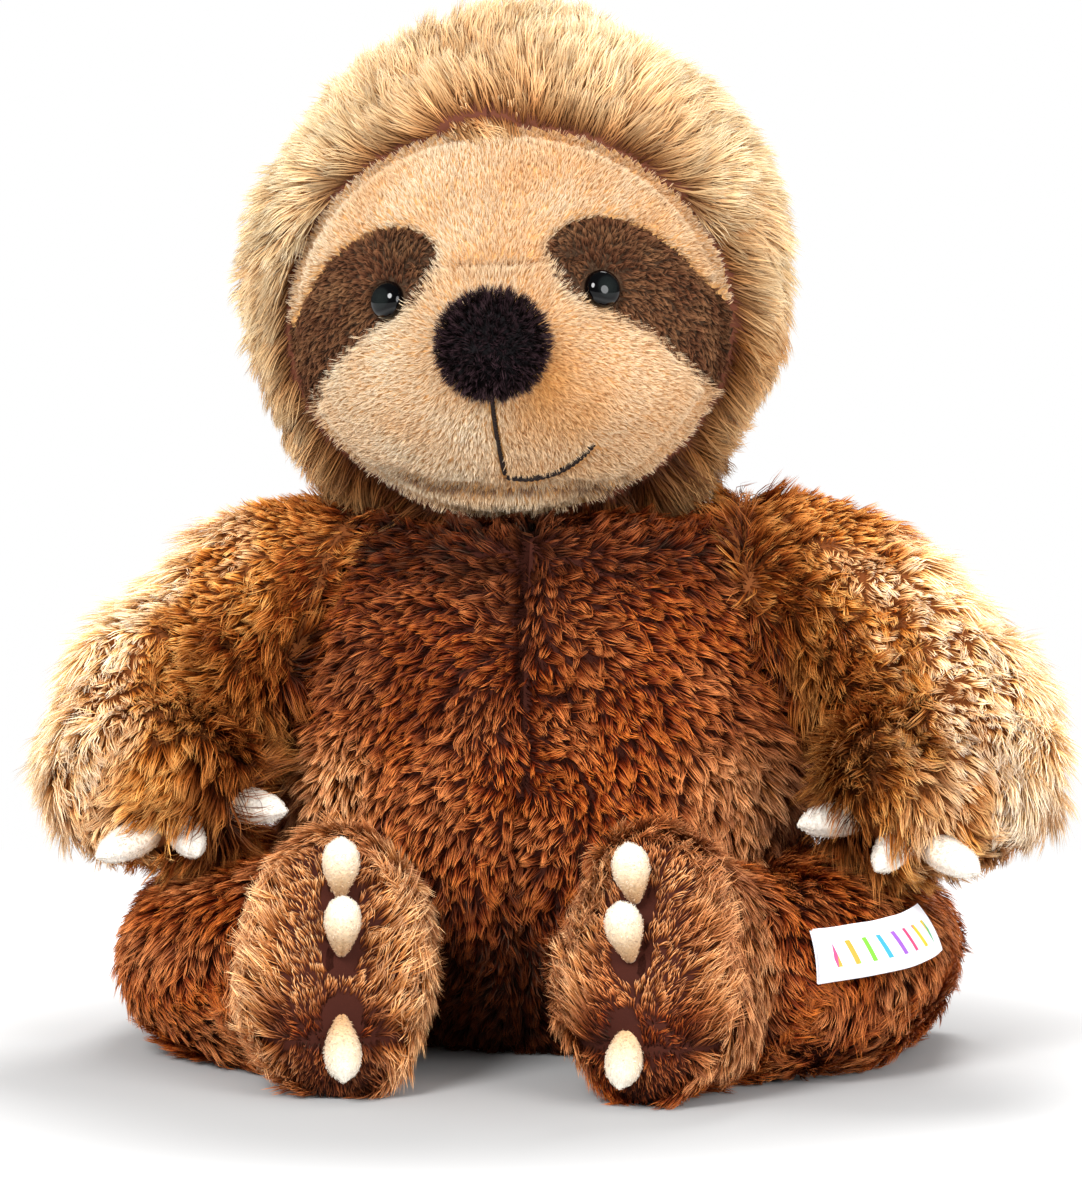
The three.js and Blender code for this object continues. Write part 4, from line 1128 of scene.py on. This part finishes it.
# The eye's shank and rim, then its dome.
half = EYE["width"] / 2
dome = [(half * math.cos(a), 0.35 + 1.75 * math.sin(a)) for a in np.linspace(0, PI / 2 - 0.06, 22)]
profile = [(0.8, -2.2), (0.8, -0.5), (half * 0.8, -0.45), (half * 0.98, -0.1)] + dome
for word, side in SIDES:
    x, z = side * EYE["out"], -EYE["down"]
    place, way = from_head(face_front(x, z))[0], in_head(face_normal(x, z))[0]
    piece = lathe(f"eye_{word}_dome", profile, place, way, eye_shader.material)
    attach(piece, "head")
    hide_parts(f"eye_{word}")


def thread(node, line, radius, plies=3):
    """A twisted thread that follows places on the face, in place of a solid."""
    pts = catmull(np.array(line), np.linspace(0, 1, 90))
    path = from_head(face_front(pts[:, 0], pts[:, 1]))
    normal = in_head(face_normal(pts[:, 0], pts[:, 1]))
    path = path + normal * (radius * 0.7)
    tangent = unit(np.gradient(path, axis=0))
    side = unit(np.cross(tangent, normal))
    over = np.cross(side, tangent)
    run, angle = running(path), circle(8)[None, :, None]
    ring = side[:, None] * np.cos(angle) + over[:, None] * np.sin(angle)
    taper = (np.sqrt(np.clip(np.minimum(run, run[-1] - run) / 0.5, 0.05, 1)) * radius * 0.55)[:, None, None]
    skins = []
    for ply in range(plies):
        turn = run / (radius * 5.5) * TURN + ply * TURN / plies
        centre = path + (side * np.cos(turn)[:, None] + over * np.sin(turn)[:, None]) * radius * 0.48
        ends = centre[0] - tangent[0] * 0.02, centre[-1] + tangent[-1] * 0.02
        skins.append(Skin(centre[:, None] + ring * taper, *ends))
    points = len(skins[0].points)
    quads, tris = (np.vstack([getattr(skin, kind) + ply * points for ply, skin in enumerate(skins)])
                   for kind in ("quads", "tris"))
    corners, sizes = np.concatenate([quads.ravel(), tris.ravel()]), [4] * len(quads) + [3] * len(tris)
    name = f"{node}_thread"
    piece = new_piece(name, new_mesh(name, np.vstack([skin.points for skin in skins]), corners, sizes), thread_material)
    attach(piece, "head")
    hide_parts(node)


thread("mouth_stitch_centre", MOUTH, 0.33)
thread("mouth_stitch_smile", SMILE, 0.42)


# ---------------------------------------------------------------- label

def label_sheet():
    """A satin tape folded on its lower edge: two layers, sewn to the outer side of the left thigh."""
    form, long, high, fold = leg_form(1), LABEL["length"], LABEL["height"], LABEL["fold"]
    fine = np.linspace(0, 1, 400)
    run = running(catmull(form.places, fine))
    columns, rows = 72, 20

    def line(across, lift, share=0.0):
        t = np.interp(LABEL["middle"] * run[-1] - across * long, run, fine)
        middle, _, deep, wide, size = form.section(t)
        angle = LABEL["around"] + LABEL["climb"] * across
        half = size + LABEL["proud"]
        arc = np.hypot(half[:, 0] * np.sin(angle), half[:, 1] * np.cos(angle))
        angle = (angle + share * high / arc)[:, None]
        half = half + np.broadcast_to(lift, len(across))[:, None]
        return middle + wide * half[:, :1] * np.cos(angle) + deep * half[:, 1:] * np.sin(angle)

    wide_range = np.linspace(-1, 1, 300)
    real = running(line(wide_range, 0.0))
    real -= np.interp(0, wide_range, real)
    spread = np.linspace(-0.5, 0.5, columns)
    across = np.interp(spread * long, real, wide_range)
    turn = np.linspace(0.2, PI - 0.2, 7)
    down = np.linspace(0, 1, rows)
    profile = np.concatenate([
        np.stack([0.5 - down, np.full(rows, 2 * fold)], 1),
        np.stack([-0.5 - fold / high * np.sin(turn), fold + fold * np.cos(turn)], 1),
        np.stack([-0.5 + down, np.zeros(rows)], 1),
    ])
    verts = []
    for share, lift in profile:
        wavy = 0.25 * np.sin(spread * 8 + 0.7) * (0.5 - share) + 0.1 * np.sin(spread * 21)
        verts.append(line(across, lift + wavy, share))
    i, j = np.meshgrid(np.arange(len(profile) - 1), np.arange(columns - 1), indexing="ij")
    at = lambda a, b: a * columns + b
    quads = np.stack([at(i, j), at(i + 1, j), at(i + 1, j + 1), at(i, j + 1)], -1).reshape(-1, 4)
    mesh = new_mesh("side_label_tape", np.concatenate(verts), quads.ravel(), [4] * len(quads))
    v, u = np.meshgrid(np.linspace(0, 1, len(profile)), np.linspace(0, 1, columns), indexing="ij")
    set_uv(mesh, np.stack([u.ravel(), v.ravel()], 1)[quads.ravel()])
    return mesh


def label_shader():
    """White satin with a plain row of short slanted bars in bright colours."""
    shader = Shader("label_satin", 0.38, Specular_IOR_Level=0.4)
    u, v, _ = shader.split(shader.add("ShaderNodeUVMap", uv_map="OFBake").outputs[0])
    within = lambda value, middle, half: shader.maths(
        "LESS_THAN", shader.maths("ABSOLUTE", shader.maths("SUBTRACT", value, middle)), half)
    slant = shader.maths("ADD", shader.maths("MULTIPLY", u, 9.0), shader.maths("MULTIPLY", v, -2.2))
    bar, tall, ends = within(shader.maths("FRACT", slant), 0.5, 0.15), within(v, 0.22, 0.1), within(u, 0.5, 0.4)
    mask = shader.maths("MULTIPLY", shader.maths("MULTIPLY", bar, tall), ends)
    bright = ((232, 70, 120), (244, 150, 40), (120, 190, 60), (60, 160, 210), (150, 90, 190), (232, 70, 120),
              (244, 190, 50), (90, 180, 120))
    colours = shader.ramp(u, palette([i / len(bright) for i in range(len(bright))], *bright))
    colours.node.color_ramp.interpolation = "CONSTANT"
    shader.paint(shader.mix(mask, srgb(236, 237, 243), colours))
    shader.bump(shader.noise(2600, 2.0, 0.5), 0.12, 0.0002)
    return shader.material


label = new_piece("side_label_tape", label_sheet(), label_shader())
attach(label, "leg_left")
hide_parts("side_label")

# The washers inside the head are the solids' own meshes.
washer_shader = Shader("washer_plastic", 0.45, Base_Color=srgb(228, 226, 220))
for word, _ in SIDES:
    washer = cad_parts[f"eye_washer_{word}"]
    washer.data.materials.clear()
    washer.data.materials.append(washer_shader.material)


# ---------------------------------------------------------------- floor, backdrop and light

def floor_material():
    """Has a painted soft shadow near the toy, where its colour turns grey, and is plain white farther off. Its radii
    are in metres.
    """
    shader = Shader("floor_white", 1.0, Specular_IOR_Level=0.0)
    where = shader.add("ShaderNodeTexCoord").outputs["Object"]
    far = shader.vector("LENGTH", shader.vector("SUBTRACT", where, (0, -0.03, 0)), out="Value")
    share = shader.fade(far, 0.11, 0.24)
    # Grey near the toy, pale farther off: a painted shadow.
    shader.paint(shader.mix(shader.fade(far, 0.055, 0.14), (0.44, 0.44, 0.44, 1), (0.88, 0.88, 0.88, 1)))
    glow, both = shader.add("ShaderNodeEmission"), shader.add("ShaderNodeMixShader")
    shader.feed(both.inputs, share, shader.base.outputs[0], glow.outputs[0])
    shader.link(both.outputs[0], shader.tree.nodes["Material Output"].inputs["Surface"])
    return shader.material


FLOOR_HALF, FLOOR_Z = 3000, -0.05
floor_corners = [(x * FLOOR_HALF, y * FLOOR_HALF, FLOOR_Z) for x, y in ((-1, -1), (1, -1), (1, 1), (-1, 1))]
floor_mesh = new_mesh("floor", floor_corners, [0, 1, 2, 3], [4])
floor = new_piece("floor", floor_mesh, floor_material())

# Even light that the camera sees as plain white, and that gloss picks up little of.
world = bpy.data.worlds.new("studio")
bpy.context.scene.world = world
world.use_nodes = True
nodes, links = world.node_tree.nodes, world.node_tree.links
nodes.clear()
kinds = ("OutputWorld", "Background", "Background", "MixShader", "LightPath", "Math")
output, seen, lit, choice, rays, dim = (nodes.new(f"ShaderNode{kind}") for kind in kinds)
seen.inputs["Color"].default_value = lit.inputs["Color"].default_value = (1, 1, 1, 1)
seen.inputs["Strength"].default_value = 1.0
dim.operation = "MULTIPLY_ADD"
dim.inputs[1].default_value, dim.inputs[2].default_value = -0.8, 0.9
for start, end in ((rays.outputs["Is Glossy Ray"], dim.inputs[0]), (dim.outputs[0], lit.inputs["Strength"]),
                   (rays.outputs["Is Camera Ray"], choice.inputs[0]), (lit.outputs[0], choice.inputs[1]),
                   (seen.outputs[0], choice.inputs[2]), (choice.outputs[0], output.inputs["Surface"])):
    links.new(start, end)

# Lamps: place, diameter in metres and power in watts. All aim at the toy's middle.
for name, place, size, power in (("key", (-220, -640, 480), 0.3, 6.1), ("fill", (500, -500, 250), 0.4, 3.6),
                                 ("back", (60, 420, 640), 0.35, 5.0)):
    data = bpy.data.lights.new(name, "AREA")
    data.shape, data.size, data.energy = "DISK", size, power
    place = Vector(place) * MM
    placed(name, data, place, Vector((0, 0, 60)) * MM - place)

bpy.context.scene.view_settings.view_transform = "Standard"
bpy.context.scene.render.film_transparent = False
